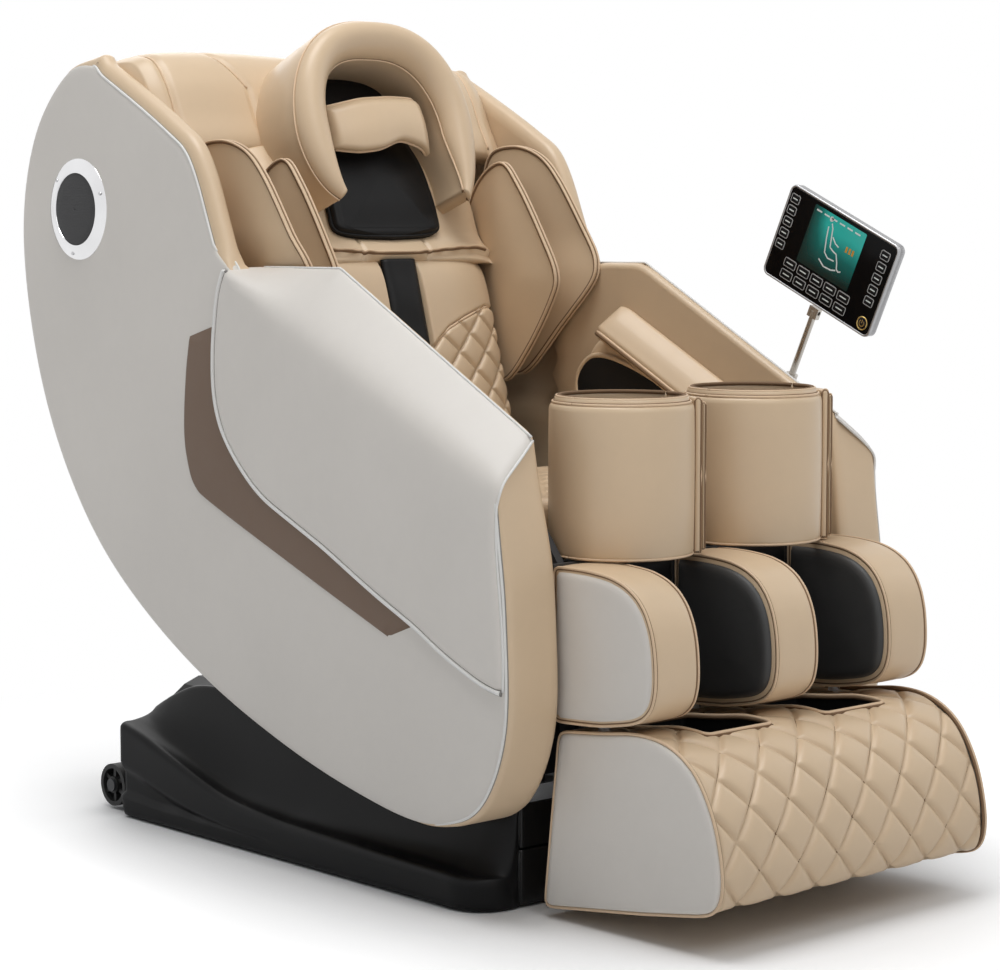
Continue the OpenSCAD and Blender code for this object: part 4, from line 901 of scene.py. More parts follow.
def remote():
    """Handset with its rim, glass, display, keys and dial."""
    body = rounded(*REMOTE_BODY)
    rim = closed_loft([on_remote(*inset(body, d).T, h) for d, h in REMOTE_SECTION])
    piece("remote_rim", *rim, RIM, "remote", "remote_case")
    back = plate(inset(body, 0.012), -0.0175, -0.0155)
    piece("remote_back", *back, BASE, "remote", smoothed=False)
    glass = plate(inset(body, 0.0025), -0.0012, GLASS_TOP, 0.0006)
    piece("remote_glass", *glass, FACE_GLASS, "remote", "remote_screen", smoothed=False)
    marks, bars = display()
    frames, faces, strokes = [], [], []
    for u, v, w, h in KEYS:
        edge = rounded(w, h, 0.0025, 4) + (u, v)
        frames.append(outline_frame(edge, 0.0009, GLASS_TOP, 0.0011))
        faces.append(plate(inset(edge, 0.0011), GLASS_TOP, 0.0013, 0.0003))
        strokes.append(stroke([(u - w * 0.27, v), (u, v), (u + w * 0.27, v)], 0.0016, 0.0012, 0.00145))
    piece("remote_key_lines", *joined(frames), KEY_LINE, "remote", smoothed=False)
    piece("remote_keys", *joined(faces), KEY_FACE, "remote", smoothed=False)
    piece("remote_glyphs", *joined(strokes + marks), GLYPH, "remote", smoothed=False)
    piece("remote_gauge", *joined(bars), AMBER, "remote", smoothed=False)
    knob = rounded(DIAL_WIDE, DIAL_WIDE, 0.0092, 9) + DIAL
    piece("remote_dial_ring", *outline_frame(knob, 0.0014, GLASS_TOP, DIAL_TOP), GOLD, "remote")
    piece("remote_dial", *plate(inset(knob, 0.0018), GLASS_TOP, 0.0018, 0.0005), KEY_FACE, "remote")
    arc = [DIAL + (0.0042 * math.sin(a), 0.0042 * math.cos(a)) for a in np.linspace(0.6, 5.7, 14)]
    bar = [DIAL, DIAL + (0, 0.0030), DIAL + (0, 0.0050)]
    power = [stroke(line, 0.0011, DIAL_TOP, 0.0021) for line in (arc, bar)]
    piece("remote_dial_mark", *joined(power), GOLD, "remote", smoothed=False)


# ---------------------------------------------------------------- back

BACK_FOOT = np.array([0.140, 0.560])
LEAN = math.radians(15.7)
BACK_DIR = np.array([math.sin(LEAN), math.cos(LEAN)])
BACK_NORMAL = np.array([math.cos(LEAN), -math.sin(LEAN)])
BACK_L = 0.312


def on_back(x, s, depth):
    """A place on the back: across, up along it, and a depth behind its front."""
    x, s, depth = np.broadcast_arrays(*(np.asarray(v, float) for v in (x, s, depth)))
    yz = BACK_FOOT + s.ravel()[:, None] * BACK_DIR + depth.ravel()[:, None] * BACK_NORMAL
    return at_x(x.ravel(), yz)


def diamonds(u, v, w, h):
    """0 on the sewn diagonals of a quilted cover, 1 at the middle of each diamond."""
    a, b = np.sin(np.pi * (u / w + v / h)), np.sin(np.pi * (u / w - v / h))
    return np.sqrt(np.abs(a * b)), np.minimum(np.abs(a), np.abs(b))


def quilt_depth(u, v, w, h, depth):
    """How far a quilted cover lies below the tops of its diamonds."""
    full, near = diamonds(u, v, w, h)
    return depth * (1 - 0.7 * (1 - (1 - near) ** 5) - 0.3 * full)


def quilt_seams(low, high, w, h, step=0.003):
    """The sewn diagonals of a quilted cover, between two corners of its (u, v)."""
    lines = []
    wide = high[0] - low[0]
    u = np.linspace(low[0], high[0], int(wide / step))
    count = int((wide / w + (high[1] - low[1]) / h)) + 3
    for sign in (1, -1):
        first = math.floor(min((low[1] / h - sign * e / w) for e in (low[0], high[0]))) - 1
        for k in range(first, first + count + 3):
            v = (k + sign * u / w) * h
            keep = (v > low[1]) & (v < high[1])
            if keep.sum() > 3:
                lines.append(np.column_stack([u[keep], v[keep]]))
    return lines


def pieces_of(line, keep):
    """The runs of a line where keep is true."""
    edges = np.flatnonzero(np.diff(np.concatenate([[0], keep.astype(int), [0]])))
    return [line[a:b] for a, b in zip(edges[::2], edges[1::2]) if b - a > 3]


BACK_HALF = 0.186
BACK_QUILT = (0.057, 0.058)
BACK_QUILT_LIFT = 0.016
PLAIN_EDGE = mm([(30, 165), (47, 180), (72, 199), (107, 214), (141, 226), (160, 232)])
STRIP_HALF = 0.033
STRIP_LOW = 0.105
STRIP_FROM, STRIP_TO = 0.120, 0.309


def plain_edge(x):
    """Height of the lower edge of the plain panels beside the spine strip."""
    return np.interp(np.abs(x), *PLAIN_EDGE.T)


def back_plain(x, s):
    """1 on the plain panels, 0 on the quilted part."""
    return smooth((s - plain_edge(x)) / 0.003)


def back_depth(x, s):
    """How far the lower back's cover lies behind its front."""
    plain = back_plain(x, s)
    quilt = quilt_depth(x, s - BACK_QUILT_LIFT, *BACK_QUILT, 0.0085)
    round_off = 0.024 * (np.abs(x) / BACK_HALF) ** 6 + 0.016 * np.abs(2 * s / BACK_L - 1) ** 9
    seam = 0.004 * np.exp(-(((s - plain_edge(x)) / 0.003) ** 2)) * (np.abs(x) > 0.036)
    groove = 0.013 * smooth((0.038 - np.abs(x)) / 0.006) * smooth((s - STRIP_LOW) / 0.012)
    return round_off + quilt * (1 - plain) + 0.0025 * plain + seam + groove


def back_slab(x, s, depth, rear):
    """A pad on the back, its front at a depth given over a grid and its rear flat."""
    front = on_back(x, s, depth).reshape(*x.shape, 3)
    return slab(front, on_back(x, s, np.full(x.shape, rear)).reshape(*x.shape, 3))


def back_cushion():
    """Lower back: quilted low down, plain beside the spine strip, with a hollow for the strip."""
    x, s = np.meshgrid(np.linspace(-BACK_HALF, BACK_HALF, 200), np.linspace(0, BACK_L, 168))
    cushion = back_slab(x, s, back_depth(x, s), 0.058)
    piece("back_cushion_cover", *cushion, TAN, "cabin", "back_cushion", 0.7)
    seams = []
    for line in quilt_seams((-0.180, -0.014), (0.180, 0.26), *BACK_QUILT):
        line = line + (0, BACK_QUILT_LIFT)
        bare = (np.abs(line[:, 0]) < 0.040) & (line[:, 1] > STRIP_LOW)
        for run in pieces_of(line, (back_plain(*line.T) < 0.5) & ~bare):
            seams.append(tube(on_back(*run.T, back_depth(*run.T) + 0.0004), 0.0009, 6))
    # The dark tubes along the sewn diagonals are painted shade in the quilt's seam creases.
    piece("back_quilt_seam_shade", *joined(seams), TAN_CREASE_SHADE, "cabin")
    edge = np.linspace(0.040, 0.165, 40)
    level = plain_edge(edge)
    lines = [(on_back(sx * edge, level, back_depth(edge, level) - 0.001), (0, -1, 0)) for _, sx in SIDES]
    piped("back_piping", lines, 0.0018, TAN_PIPED, "cabin")


def spine_strip():
    """Black strip over the travelling rollers."""
    x, s = np.meshgrid(np.linspace(-STRIP_HALF, STRIP_HALF, 25), np.linspace(STRIP_FROM, STRIP_TO, 40))
    across = np.abs(x) / STRIP_HALF
    depth = 0.0035 + 0.006 * across**6 + 0.0012 * np.sin(s * 70) * (1 - across**2)
    depth += 0.007 * smooth((0.129 - s) / 0.009)
    strip = back_slab(x, s, depth, 0.0125)
    piece("spine_strip_cover", *strip, BLACK, "cabin", "spine_strip", 0.4)


COLLAR = BACK_FOOT + BACK_L * BACK_DIR
PAD_TOP = mm([(345, 1028), (373, 1065), (402, 1122), (436, 1158), (480, 1166), (540, 1156), (572, 1120)])
CENTRE_LINE = spline(
    np.vstack([COLLAR + mm([(2, 4)]), mm([(244, 880), (264, 896), (281, 938), (310, 990)]), PAD_TOP]), 8
)


def line_out(line):
    """Unit directions out from a side view line."""
    t = np.gradient(line, axis=0)
    t /= np.linalg.norm(t, axis=1)[:, None]
    return np.column_stack([-t[:, 1], t[:, 0]])


def line_run(line):
    """Distance along a line at each of its points."""
    return np.concatenate([[0], np.cumsum(np.linalg.norm(np.diff(line, axis=0), axis=1))])


def along_skin(line, x, lift):
    """A sewn line on a swept skin, with its way out; x is given at each point, and nan leaves one out."""
    out, run = line_out(line), line_run(line)
    keep = np.flatnonzero(~np.isnan(x))
    path = [(x[i], *(line[i] + lift(x[i], run)[i] * out[i])) for i in keep]
    return np.array(path), np.column_stack([np.zeros(len(keep)), out[keep]])


def swept_pad(name, line, xs, thick, lift, stands_for=None):
    """A tan pad over a side view line; lift(x, run) gives how far its skin stands off."""
    run, out = line_run(line), line_out(line)
    rings = []
    for x in xs:
        front = line + lift(x, run)[:, None] * out
        rear = line - thick * out
        rings.append(at_x(x, np.vstack([front, rear[::-1]])))
    piece(name, *closed_loft(rings), TAN, "cabin", stands_for, 0.7)


def seam_dip(x, at, width):
    """1 on a sewn line at a distance from the middle, 0 away from it."""
    return np.exp(-(((abs(x) - at) / width) ** 2))


ROLL_HALF = 0.3312
ROLL_SEAM = 0.300
COLLAR_HALF = 0.2025
COLLAR_SEAM = 0.064


def shoulder_roll():
    """Padded roll over the shoulders, with two sewn lines on each side."""
    line = evened(spline(PAD_TOP, 10), 0.004)
    run = line_run(line)
    low_end = run[distance(line, mm([(390, 1118), (390, 1122)])).argmin()]
    top_end = run[distance(line, mm([(452, 1163), (452, 1167)])).argmin()]
    slant = 0.160 + 0.040 * np.clip((run - low_end) / (top_end - low_end), 0, 1)

    def roll(x, run):
        """How far the skin of the roll stands off its line."""
        edge = 0.016 * (abs(x) / ROLL_HALF) ** 14
        end = 0.012 * np.abs(2 * run / run[-1] - 1) ** 10
        seams = seam_dip(x, ROLL_SEAM, 0.005) + seam_dip(x, slant, 0.005)
        return -edge - end - 0.0045 * seams + 0.003 * np.cos((abs(x) - 0.16) * 14)

    xs = np.linspace(-ROLL_HALF, ROLL_HALF, 170)
    swept_pad("shoulder_roll", line, xs, 0.040, roll, "upper_back_pad")
    inner = np.where(run > low_end - 0.002, slant, np.nan)
    outer = np.where((run > 0.01) & (run < run[-1] - 0.01), ROLL_SEAM, np.nan)
    lines = [along_skin(line, sx * x, roll) for _, sx in SIDES for x in (inner, outer)]
    piped("shoulder_roll_piping", lines, 0.0021, TAN_PIPED, "cabin")


def collar():
    """Collar under the hood, with a piped hem that falls towards the sides."""
    line = evened(CENTRE_LINE[: 5 * 8 + 1], 0.0035)
    run, out = line_run(line), line_out(line)

    def hem(x):
        """How far up the collar its hem lies."""
        return 0.004 + 0.014 * np.clip((abs(x) - 0.03) / 0.14, 0, 1)

    def lift(x, run):
        """How far the skin of the collar stands off its line."""
        edge = 0.014 * (abs(x) / COLLAR_HALF) ** 8
        below = 0.012 * smooth((hem(x) - run) / 0.004)
        return -edge - below - 0.0042 * seam_dip(x, COLLAR_SEAM, 0.003) * (run < 0.075)

    swept_pad("collar_pad", line, np.linspace(-COLLAR_HALF, COLLAR_HALF, 140), 0.024, lift)
    hems = []
    for x in np.linspace(-0.19, 0.19, 90):
        at = hem(x) + 0.001
        spot, way = (np.array([np.interp(at, run, v[:, k]) for k in (0, 1)]) for v in (line, out))
        hems.append((x, *(spot + (np.interp(at, run, lift(x, run)) - 0.001) * way)))
    piped("collar_piping", [(hems, (0, *out[3]))], 0.0019, TAN_PIPED, "cabin")


NECK_HALF = 0.104
NECK_SEAM_IN = 0.010


def neck_pad():
    """Black pad behind the neck, its lower end rounded and piped."""
    line = evened(CENTRE_LINE[10:58], 0.003)
    run, out = line_run(line), line_out(line)
    half = NECK_HALF * np.clip(1 - (1 - np.clip(run / 0.036, 0, 1)) ** 3, 0, 1) ** 0.45 + 0.001
    u = np.linspace(-1, 1, 61)
    fronts, rears = [], []
    for i in range(len(line)):
        d = np.minimum((1 - np.abs(u)) * half[i], min(run[i], run[-1] - run[i]))
        h = 0.006 + swell(d, 0.012, 0.012, 0.012, 0.06)
        h -= 0.0016 * np.exp(-(((d - NECK_SEAM_IN) / 0.0022) ** 2))
        fronts.append(np.column_stack([u * half[i], line[i] + h[:, None] * out[i]]))
        rears.append(np.column_stack([u * half[i], np.tile(line[i] + 0.001 * out[i], (len(u), 1))]))
    piece("neck_pad_cover", *slab(fronts, rears), BLACK, "cabin", "neck_pad", 0.6)
    low = np.flatnonzero(run < 0.16)
    edge = line[low] + 0.007 * out[low]
    left, right = (np.column_stack([way * half[low], edge]) for way in (-1, 1))
    piece("neck_pad_piping", *tube(np.vstack([left[::-1], right]), 0.0024), BLACK, "cabin")


PILLOW_TOP = mm([(-90, 1083), (-30, 1097), (30, 1101), (70, 1100), (94, 1094)])
PILLOW_LOW = mm([(-90, 1021), (-50, 1017), (-10, 1022), (30, 1037), (60, 1029), (94, 1012)])
PILLOW_HALF = 0.092


def head_pillow():
    """Soft pillow that curves across the hood, its edges piped and wavy."""
    u, v = np.linspace(-1, 1, 81), np.linspace(0, 1, 33)
    x = 0.002 + PILLOW_HALF * u
    top_z, low_z = (
        softened(np.column_stack([x, np.interp(x, *edge.T)]), 30, False)[:, 1]
        for edge in (PILLOW_TOP, PILLOW_LOW)
    )
    fronts, rears = [], []
    for at, top, low, ui in zip(x, top_z, low_z, u):
        z = low + (top - low) * v
        d = np.minimum(np.minimum(v, 1 - v) * (top - low), (1 - abs(ui)) * PILLOW_HALF)
        half = 0.002 + 0.011 * round_in(d, 0.010)
        middle = 0.258 + (z - 1.015) * 0.34 + 0.020 * np.clip(-at / 0.09, 0, 1) ** 2
        middle += 0.018 * smooth((at - 0.066) / 0.03)
        across = np.full(len(v), at)
        fronts.append(np.column_stack([across, middle - half - 0.006 * np.sin(np.pi * v), z]))
        rears.append(np.column_stack([across, middle + half, z]))
    piece("head_pillow_cover", *slab(fronts, rears), TAN, "cabin", "head_pillow", 0.6)
    fronts, rears = np.array(fronts[2:-2]), np.array(rears[2:-2])
    edges = (fronts + rears) / 2
    lines = [(edges[:, 0], (0, -0.5, -0.87)), (edges[:, -1], (0, -0.3, 0.95))]
    piped("head_pillow_piping", lines, 0.0021, TAN_PIPED, "cabin")


# ---------------------------------------------------------------- hood

HOOD_HALF = 0.170
HOOD_RISE = 0.161
HOOD_ROLL = 0.055
HOOD_MIDDLE_Z = 1.062
HOOD_TIP_Y, HOOD_TIP_Z = 0.207, 0.958
HOOD_LEAN = 0.3
HOOD_BACK = np.array([math.cos(math.radians(20)), -math.sin(math.radians(20))])


def hood_point(a, out, back):
    """A place on the hood at an angle from its top, out from its roll and back from its rim."""
    power = 0.75 if abs(a) < 90 else 0.32
    s, c = abs(math.sin(math.radians(a))), math.cos(math.radians(a))
    mid_x = (HOOD_HALF - HOOD_ROLL / 2) * s**power
    mid_z = HOOD_MIDDLE_Z + (HOOD_RISE - HOOD_ROLL / 2) * c
    x = (mid_x + out * s) * np.sign(a)
    y = HOOD_TIP_Y + (mid_z - HOOD_TIP_Z) * HOOD_LEAN + back * HOOD_BACK[0]
    return np.column_stack([x, y, mid_z + out * c + back * HOOD_BACK[1]])


def hood():
    """Hood over the head: a fat roll along its rim, with padded walls behind."""
    turn = np.radians(np.linspace(0, 180, 19))
    arms = np.linspace(95, 143, 26)
    angles = np.concatenate([-arms[::-1], np.linspace(-93, 93, 80), arms])
    rings, outer, inner = [], [], []
    for a in angles:
        r = HOOD_ROLL / 2 * (1 - 0.66 * max(0, (abs(a) - 92) / 51) ** 1.5)
        depth = np.concatenate([r + np.array([0.0008, 0.004, 0.010]), [0.060, 0.100, 0.145, 0.188]])
        out = np.concatenate([-np.cos(turn), [0.93, 0.94, 1.0, 1.02, 0.96, 0.85, 0.7]])
        out = r * np.concatenate([out, [-0.8, -0.85, -0.9, -0.98, -1.0, -0.94, -0.93]])
        back = np.concatenate([r * (1 - np.sin(turn)), depth, depth[::-1]])
        rings.append(hood_point(a, out, back))
        sides = hood_point(a, r * np.array([0.99, -0.99]), np.array([r, r]))
        outer.append(sides[0])
        inner.append(sides[1])
    piece("hood_cover", *closed_loft(rings), TAN, "cabin", "hood", 0.8)
    outer, inner = np.array(outer), np.array(inner)
    away = outer - inner
    away /= np.linalg.norm(away, axis=1)[:, None]
    piped("hood_piping", [(outer, away), (inner, -away)], 0.0018, TAN_PIPED, "cabin")


# ---------------------------------------------------------------- shoulders and arms

INNER_LEAF = mm([
    (236, 1003), (196, 969), (142, 891), (110, 832), (121, 791), (172, 716), (226, 664), (268, 690),
    (306, 790), (318, 900), (290, 970),
])
OUTER_LEAF = mm([
    (229, 1016), (183, 977), (125, 899), (91, 850), (98, 812), (159, 750), (246, 672), (300, 700),
    (344, 800), (360, 930), (345, 1012), (290, 1030),
])
ROOT = mm([
    (345, 1012), (306, 972), (276, 915), (258, 860), (250, 800), (252, 740), (290, 725), (318, 800),
    (332, 920), (352, 985),
])
INNER_LEAF_X, OUTER_LEAF_X, ROOT_X = 0.2145, 0.2885, 0.307
OUTER_LEAN = 0.0165
GUSSET = 0.0075


def leaf_pad(name, outline, x, full, lean=0.0, stands_for=None):
    """A leaf shaped pad with a narrow piped gusset, its lower part nearer the middle by the lean."""
    line = evened(spline(outline, 8, True), 0.006, True)

    def place(y, z, h):
        """A place at (y, z), h out from the middle of the leaf."""
        return np.column_stack([x + h - math.copysign(lean, x) * smooth((0.90 - z) / 0.12), y, z])

    pad = full_pad(line, place, GUSSET, 0.012, 0.003, full, 0.045)
    piece(name, *pad, TAN, "cabin", stands_for, 0.75)
    lines = []
    for sign in (1, -1):
        out = at_x(0.5 * sign, -0.866 * turned_in(line))
        lines.append((place(*line.T, sign * GUSSET / 2), out))
    piped(f"{name}_piping", lines, 0.0018, TAN_PIPED, "cabin", True, 0.0008)


def shoulder_pads():
    """Two leaf pads at each shoulder, the outer one with a deep padded back."""
    root = evened(softened(evened(ROOT, 0.008, True), 3), 0.007, True)
    for side, sx in SIDES:
        node = f"shoulder_pads_{side}"
        leaf_pad(f"shoulder_leaf_inner_{side}", INNER_LEAF, sx * INNER_LEAF_X, 0.010, stands_for=node)
        leaf_pad(f"shoulder_leaf_outer_{side}", OUTER_LEAF, sx * OUTER_LEAF_X, 0.007, OUTER_LEAN)
        pad = full_pad(root, mirrored(1, sx * ROOT_X), 0.034, 0.014, 0.010, 0.002, 0.05)
        piece(f"shoulder_root_{side}", *pad, TAN, "cabin", fill=0.7)


LINING_X, AIRBAG_X = 0.2745, 0.2632
LINING = mm([(-372, 474), (-250, 452), (116, 452), (104, 690), (84, 724), (62, 742), (-368, 508)])
AIRBAG = mm([
    (112, 666), (98, 620), (60, 590), (-20, 578), (-150, 560), (-172, 590), (-120, 640), (-40, 680),
    (40, 704), (86, 701),
])


def arm_linings():
    """Padded inner walls of the arms, each with its black rounded airbag panel."""
    wall = evened(softened(evened(LINING, 0.01, True), 6), 0.008, True)
    bag = evened(spline(AIRBAG, 5, True), 0.006, True)
    for side, sx in SIDES:
        lining = face_pad(wall, mirrored(sx, LINING_X, -1), 0.018, 0.012, 0.009, 0.003, 0.06)
        piece(f"arm_lining_{side}", *lining, TAN, "cabin", for_both(sx, "arm_linings"), 0.6)
        over = mirrored(sx, AIRBAG_X, -1)
        panel = face_pad(bag, over, 0.014, 0.006, 0.004, 0.0022, 0.03)
        piece(f"arm_airbag_{side}", *panel, BLACK, "cabin", for_both(sx, "arm_airbags"), 0.6)
        rim = over(*inset(bag, -0.001).T, np.full(len(bag), 0.0008))
        piece(f"arm_airbag_rim_{side}", *tube(rim, 0.0042, closed=True), TAN, "cabin")


PLANK_REAR, PLANK_FRONT = mm([(34, 787), (-222, 654)])
PLANK_OUT, PLANK_WIDE, PLANK_THICK = 0.2842, 0.0425, 0.011


def arm_planks():
    """Padded forearm rests, sloping inwards, with a piped edge."""
    across = np.linspace(0, 1, 28)
    for side, sx in SIDES:
        rings, edge = [], []
        for t in np.linspace(0, 1, 70):
            corner = 0.0215 * (1 - round_in(t, 0.10))
            base = PLANK_REAR + (PLANK_FRONT - PLANK_REAR) * t
            wide = PLANK_WIDE - corner * 0.6
            x = PLANK_OUT - across * wide
            y = base[0] + across * 0.022 + corner * 0.2 * (1 - across)
            z = base[1] - across * 0.036 - corner * 0.4
            d = np.minimum(np.minimum(across, 1 - across) * wide * 1.2, min(t, 1 - t) * 0.29)
            h = swell(d, 0.006, 0.0055, 0.004, 0.016)
            up = np.column_stack([sx * (x - 0.62 * h), y, z + 0.78 * h])
            low = np.column_stack([sx * x, y, z - PLANK_THICK])
            rings.append(np.vstack([up, low[::-1]]))
            edge.append((sx * (x[-1] - 0.001), y[-1], z[-1] - 0.0015))
        piece(f"arm_plank_{side}", *closed_loft(rings), TAN, "cabin", for_both(sx, "arm_planks"), 0.7)
        edge = np.vstack([rings[0][: len(across)], edge])
        piped(f"arm_plank_piping_{side}", [(edge, (0, -0.6, 0.8))], 0.0022, TAN_PIPED, "cabin")


SEAT_QUILT = (0.073, 0.085)
SEAT_THICK = 0.070


def seat_cushion():
    """Seat cushion, crowned, with a quilted top."""
    low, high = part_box("seat_cushion")
    wide, long = high.x - low.x, high.y - low.y
    u, v = np.meshgrid(np.linspace(-1, 1, 120), np.linspace(-1, 1, 110))
    pulled_in = 1 - 0.02 * (1 - np.abs(u) * np.abs(v)) * np.maximum(np.abs(u), np.abs(v)) ** 4
    x = u * wide / 2 * pulled_in
    y = (low.y + high.y) / 2 + v * long / 2 * pulled_in
    d = np.minimum((1 - np.abs(u)) * wide / 2, (1 - np.abs(v)) * long / 2)
    crown = SEAT_THICK + swell(d, 0.022, 0.016, 0.006, 0.10)
    crown -= quilt_depth(x, y, *SEAT_QUILT, 0.006) * smooth((d - 0.03) / 0.02)
    top, faces = lattice(np.dstack([x, y, low.z + crown]), round_ring=False)
    base = np.dstack([x, y, np.full(x.shape, low.z + 0.0005)]).reshape(-1, 3)
    n = len(top)
    walls = [(a, b, b + n, a + n) for a, b in rim_of(faces)]
    faces = faces + [tuple(i + n for i in f) for f in faces] + walls
    piece("seat_cushion_cover", np.vstack([top, base]), faces, TAN, "cabin", "seat_cushion", 0.7)


# ---------------------------------------------------------------- leg rest

WRAP_X, WRAP_Y = 0.127, -0.381
WRAP_LOW, WRAP_HIGH = 0.4722, 0.6847


def wrap_point(x, a, r, z):
    """A place on a knee wrap, the angle from its hinge side round to the piped side."""
    return np.array([x + r * math.cos(a), WRAP_Y + r * math.sin(a), z])


WRAP_INNER, WRAP_OUTER = 0.0833, 0.0968
WRAP_SECTION = np.vstack([
    mm([(-6, 0.4), (-3, 0.8), (-0.8, 3.2), (0, 8), (0.6, 60), (0.8, 110)]) + (WRAP_OUTER, WRAP_LOW),
    mm([
        (0.6, -60), (0, -18), (-0.8, -13), (-3, -10), (-5.6, -8.8), (-6.6, -9.2), (-7, -6.2), (-7.6, -1.2),
        (-9, 0),
    ]) + (WRAP_OUTER, WRAP_HIGH),
    mm([(2.5, 0), (0.6, -2), (0, -6)]) + (WRAP_INNER, WRAP_HIGH),
    mm([(0, 4), (1.6, 0.4)]) + (WRAP_INNER, WRAP_LOW),
])
FLANGE_Z = np.array([
    WRAP_LOW + 0.004, WRAP_LOW + 0.008, 0.52, 0.58, 0.64, WRAP_HIGH - 0.010, WRAP_HIGH - 0.005,
])
FLANGE_W = mm([10, 15.5, 16, 16, 16, 15.5, 11])
FLANGE_NEAR, FLANGE_FAR = 0.0003, 0.0046


def wrap_half(x, facing):
    """Half of a knee wrap: a padded wall below its lined rim, and its flange. facing is 1 for the rear."""
    turn = facing * np.radians(np.append(np.linspace(0.6, 179.96, 90), 180))
    half = closed_loft([[wrap_point(x, a, r, z) for r, z in WRAP_SECTION] for a in turn])
    near, far = sorted((facing * FLANGE_NEAR, facing * FLANGE_FAR))
    root = x + WRAP_OUTER
    flange = []
    for z, w in zip(FLANGE_Z, FLANGE_W):
        outline = [
            (root - 0.004, near), (root + w - 0.001, near), (root + w, (near + far) / 2),
            (root + w - 0.001, far), (root - 0.004, far),
        ]
        flange.append([(u, WRAP_Y + v, z) for u, v in outline])
    return joined([half, closed_loft(flange)])


def wrap_piping(x, facing):
    """Lines of piping under the rim, on it, along the lower edge and round the flange of half a wrap."""
    turn = facing * np.radians(np.linspace(1.5, 179.6, 72))
    lines = []
    for r, z in ((0.0912, WRAP_HIGH - 0.0076), (0.0862, WRAP_HIGH - 0.0001), (0.0948, WRAP_LOW + 0.0030)):
        path = np.array([wrap_point(x, a, r, z) for a in turn])
        lines.append((path, outwards(path * (1, 1, 0), (x, WRAP_Y, 0))))
    edge = np.vstack([
        mm([(97, -4), (108.5, -5), (112.5, -10)]) + (x, WRAP_HIGH),
        [(x + 0.1130, 0.6), (x + 0.1130, 0.52)],
        mm([(112.5, 8), (108, 4)]) + (x, WRAP_LOW),
    ])
    edge = np.insert(edge, 1, WRAP_Y + facing * 0.0026, axis=1)
    lines.append((evened(edge, 0.006), (1, 0, 0)))
    return lines


def wrap_strip(x, r0, r1, a0, a1, low, high):
    """An upright padded strip on the flap, with a rounded top, and the line of its piping."""
    half, mid = (r1 - r0) / 2, (r0 + r1) / 2
    turn = np.linspace(0, math.pi, 12)
    top = np.column_stack([mid + half * np.cos(turn), high - half + half * np.sin(turn)])
    section = evened(np.vstack([top, [(r0, low), (r1, low)]]), 0.002, True)
    round_end = ((0, 0.0034), (0.25, 0.0018), (0.8, 0.0007), (1.7, 0.0), (18.0, 0.0))
    rings = []
    for step, d in (*round_end, (a1 - a0 - 0.5, 0.0), (a1 - a0, 0.002)):
        a = math.radians(a0 + step)
        rings.append([wrap_point(x, a, r, z) for r, z in inset(section, d)])
    a = math.radians(a0 + 1.3)
    line = np.array([wrap_point(x, a, r, z) for r, z in inset(section, 0.0002)])
    return closed_loft(rings), (line, outwards(line, wrap_point(x, a, mid, (low + high) / 2)))


FLAP_STRIPS = ((0.0972, 0.1060, -45, -9, 0.003), (0.1072, 0.1126, -39, -7, 0.010))


def knee_wraps():
    """Knee wraps: the rear half on the leg rest and the front half that opens, piped all round."""
    for side, sx in SIDES:
        x, flap = sx * WRAP_X, f"flap_{side}"
        for kind, body, facing in (("wrap", "leg_rest", 1), ("flap", flap, -1)):
            name = f"knee_{kind}_cover_{side}"
            piece(name, *wrap_half(x, facing), TAN, body, f"knee_{kind}_{side}", 0.6)
            piped(f"{name}_piping", wrap_piping(x, facing), 0.0018, TAN_PIPED, body, shadow=0.0010)
        for k, (r0, r1, a0, a1, drop) in enumerate(FLAP_STRIPS):
            strip, line = wrap_strip(x, r0, r1, a0, a1, WRAP_LOW + drop / 2, WRAP_HIGH - drop)
            piece(f"knee_strip_{k}_{side}", *strip, TAN, flap, fill=0.6)
            piped(f"knee_strip_piping_{k}_{side}", [line], 0.0011, TAN_PIPED, flap, True, 0.0007)


DIVIDER = mm([
    (-396, 470), (-430, 471), (-462, 470.5), (-500, 467), (-528, 459), (-550, 446), (-566, 428), (-577, 405),
    (-583, 380), (-585.5, 350), (-585, 326), (-579, 304), (-566, 289), (-545, 280), (-520, 275), (-485, 269),
    (-440, 266), (-396, 264),
])
DIVIDER_LINE = evened(softened(evened(DIVIDER, 0.008, True), 2), 0.006, True)
DIVIDER_EDGE = mm([(0, 9), (1.2, 5), (3.5, 2.2), (7, 0.6), (12.5, 0)])


def edge_piping(line, d, x, way):
    """A line of piping on an edge at x, drawn in by d, with its way out to the side and the rim."""
    return at_x(x, inset(line, d)), at_x(0.7 * way, -0.7 * turned_in(line))


def divider(name, x0, x1, grey_side, stands_for):
    """A calf divider: padded sides and a tan band over its front with sewn lines near both edges."""
    line = DIVIDER_LINE
    t = np.linspace(0.25, 0.75, 5)
    into, drawn = DIVIDER_EDGE.T
    xs = np.concatenate([x0 + into, x0 + (x1 - x0) * t, x1 - into[::-1]])
    ins = np.concatenate([drawn, 0.0002 - 0.0008 * np.sin(np.pi * t), drawn[::-1]])
    rings = [at_x(x, inset(line, d)) for x, d in zip(xs, ins)]
    piece(name, *closed_loft(rings), TAN, "leg_rest", stands_for, 0.7)
    lines = [edge_piping(line, 0.0020, x0 + 0.0020, -1), edge_piping(line, 0.0020, x1 - 0.0020, 1)]
    piped(f"{name}_piping", lines, 0.0019, TAN_PIPED, "leg_rest", True, 0.0009)
    if grey_side:
        inner = evened(inset(line, 0.0065), 0.006, True)
        place = mirrored(grey_side, max(abs(x0), abs(x1)) - 0.0022)
        panel = face_pad(inner, place, 0.014, 0.010, 0.0048, 0.0022, 0.05)
        piece(f"{name}_side", *panel, GREY, "leg_rest", fill=0.6)


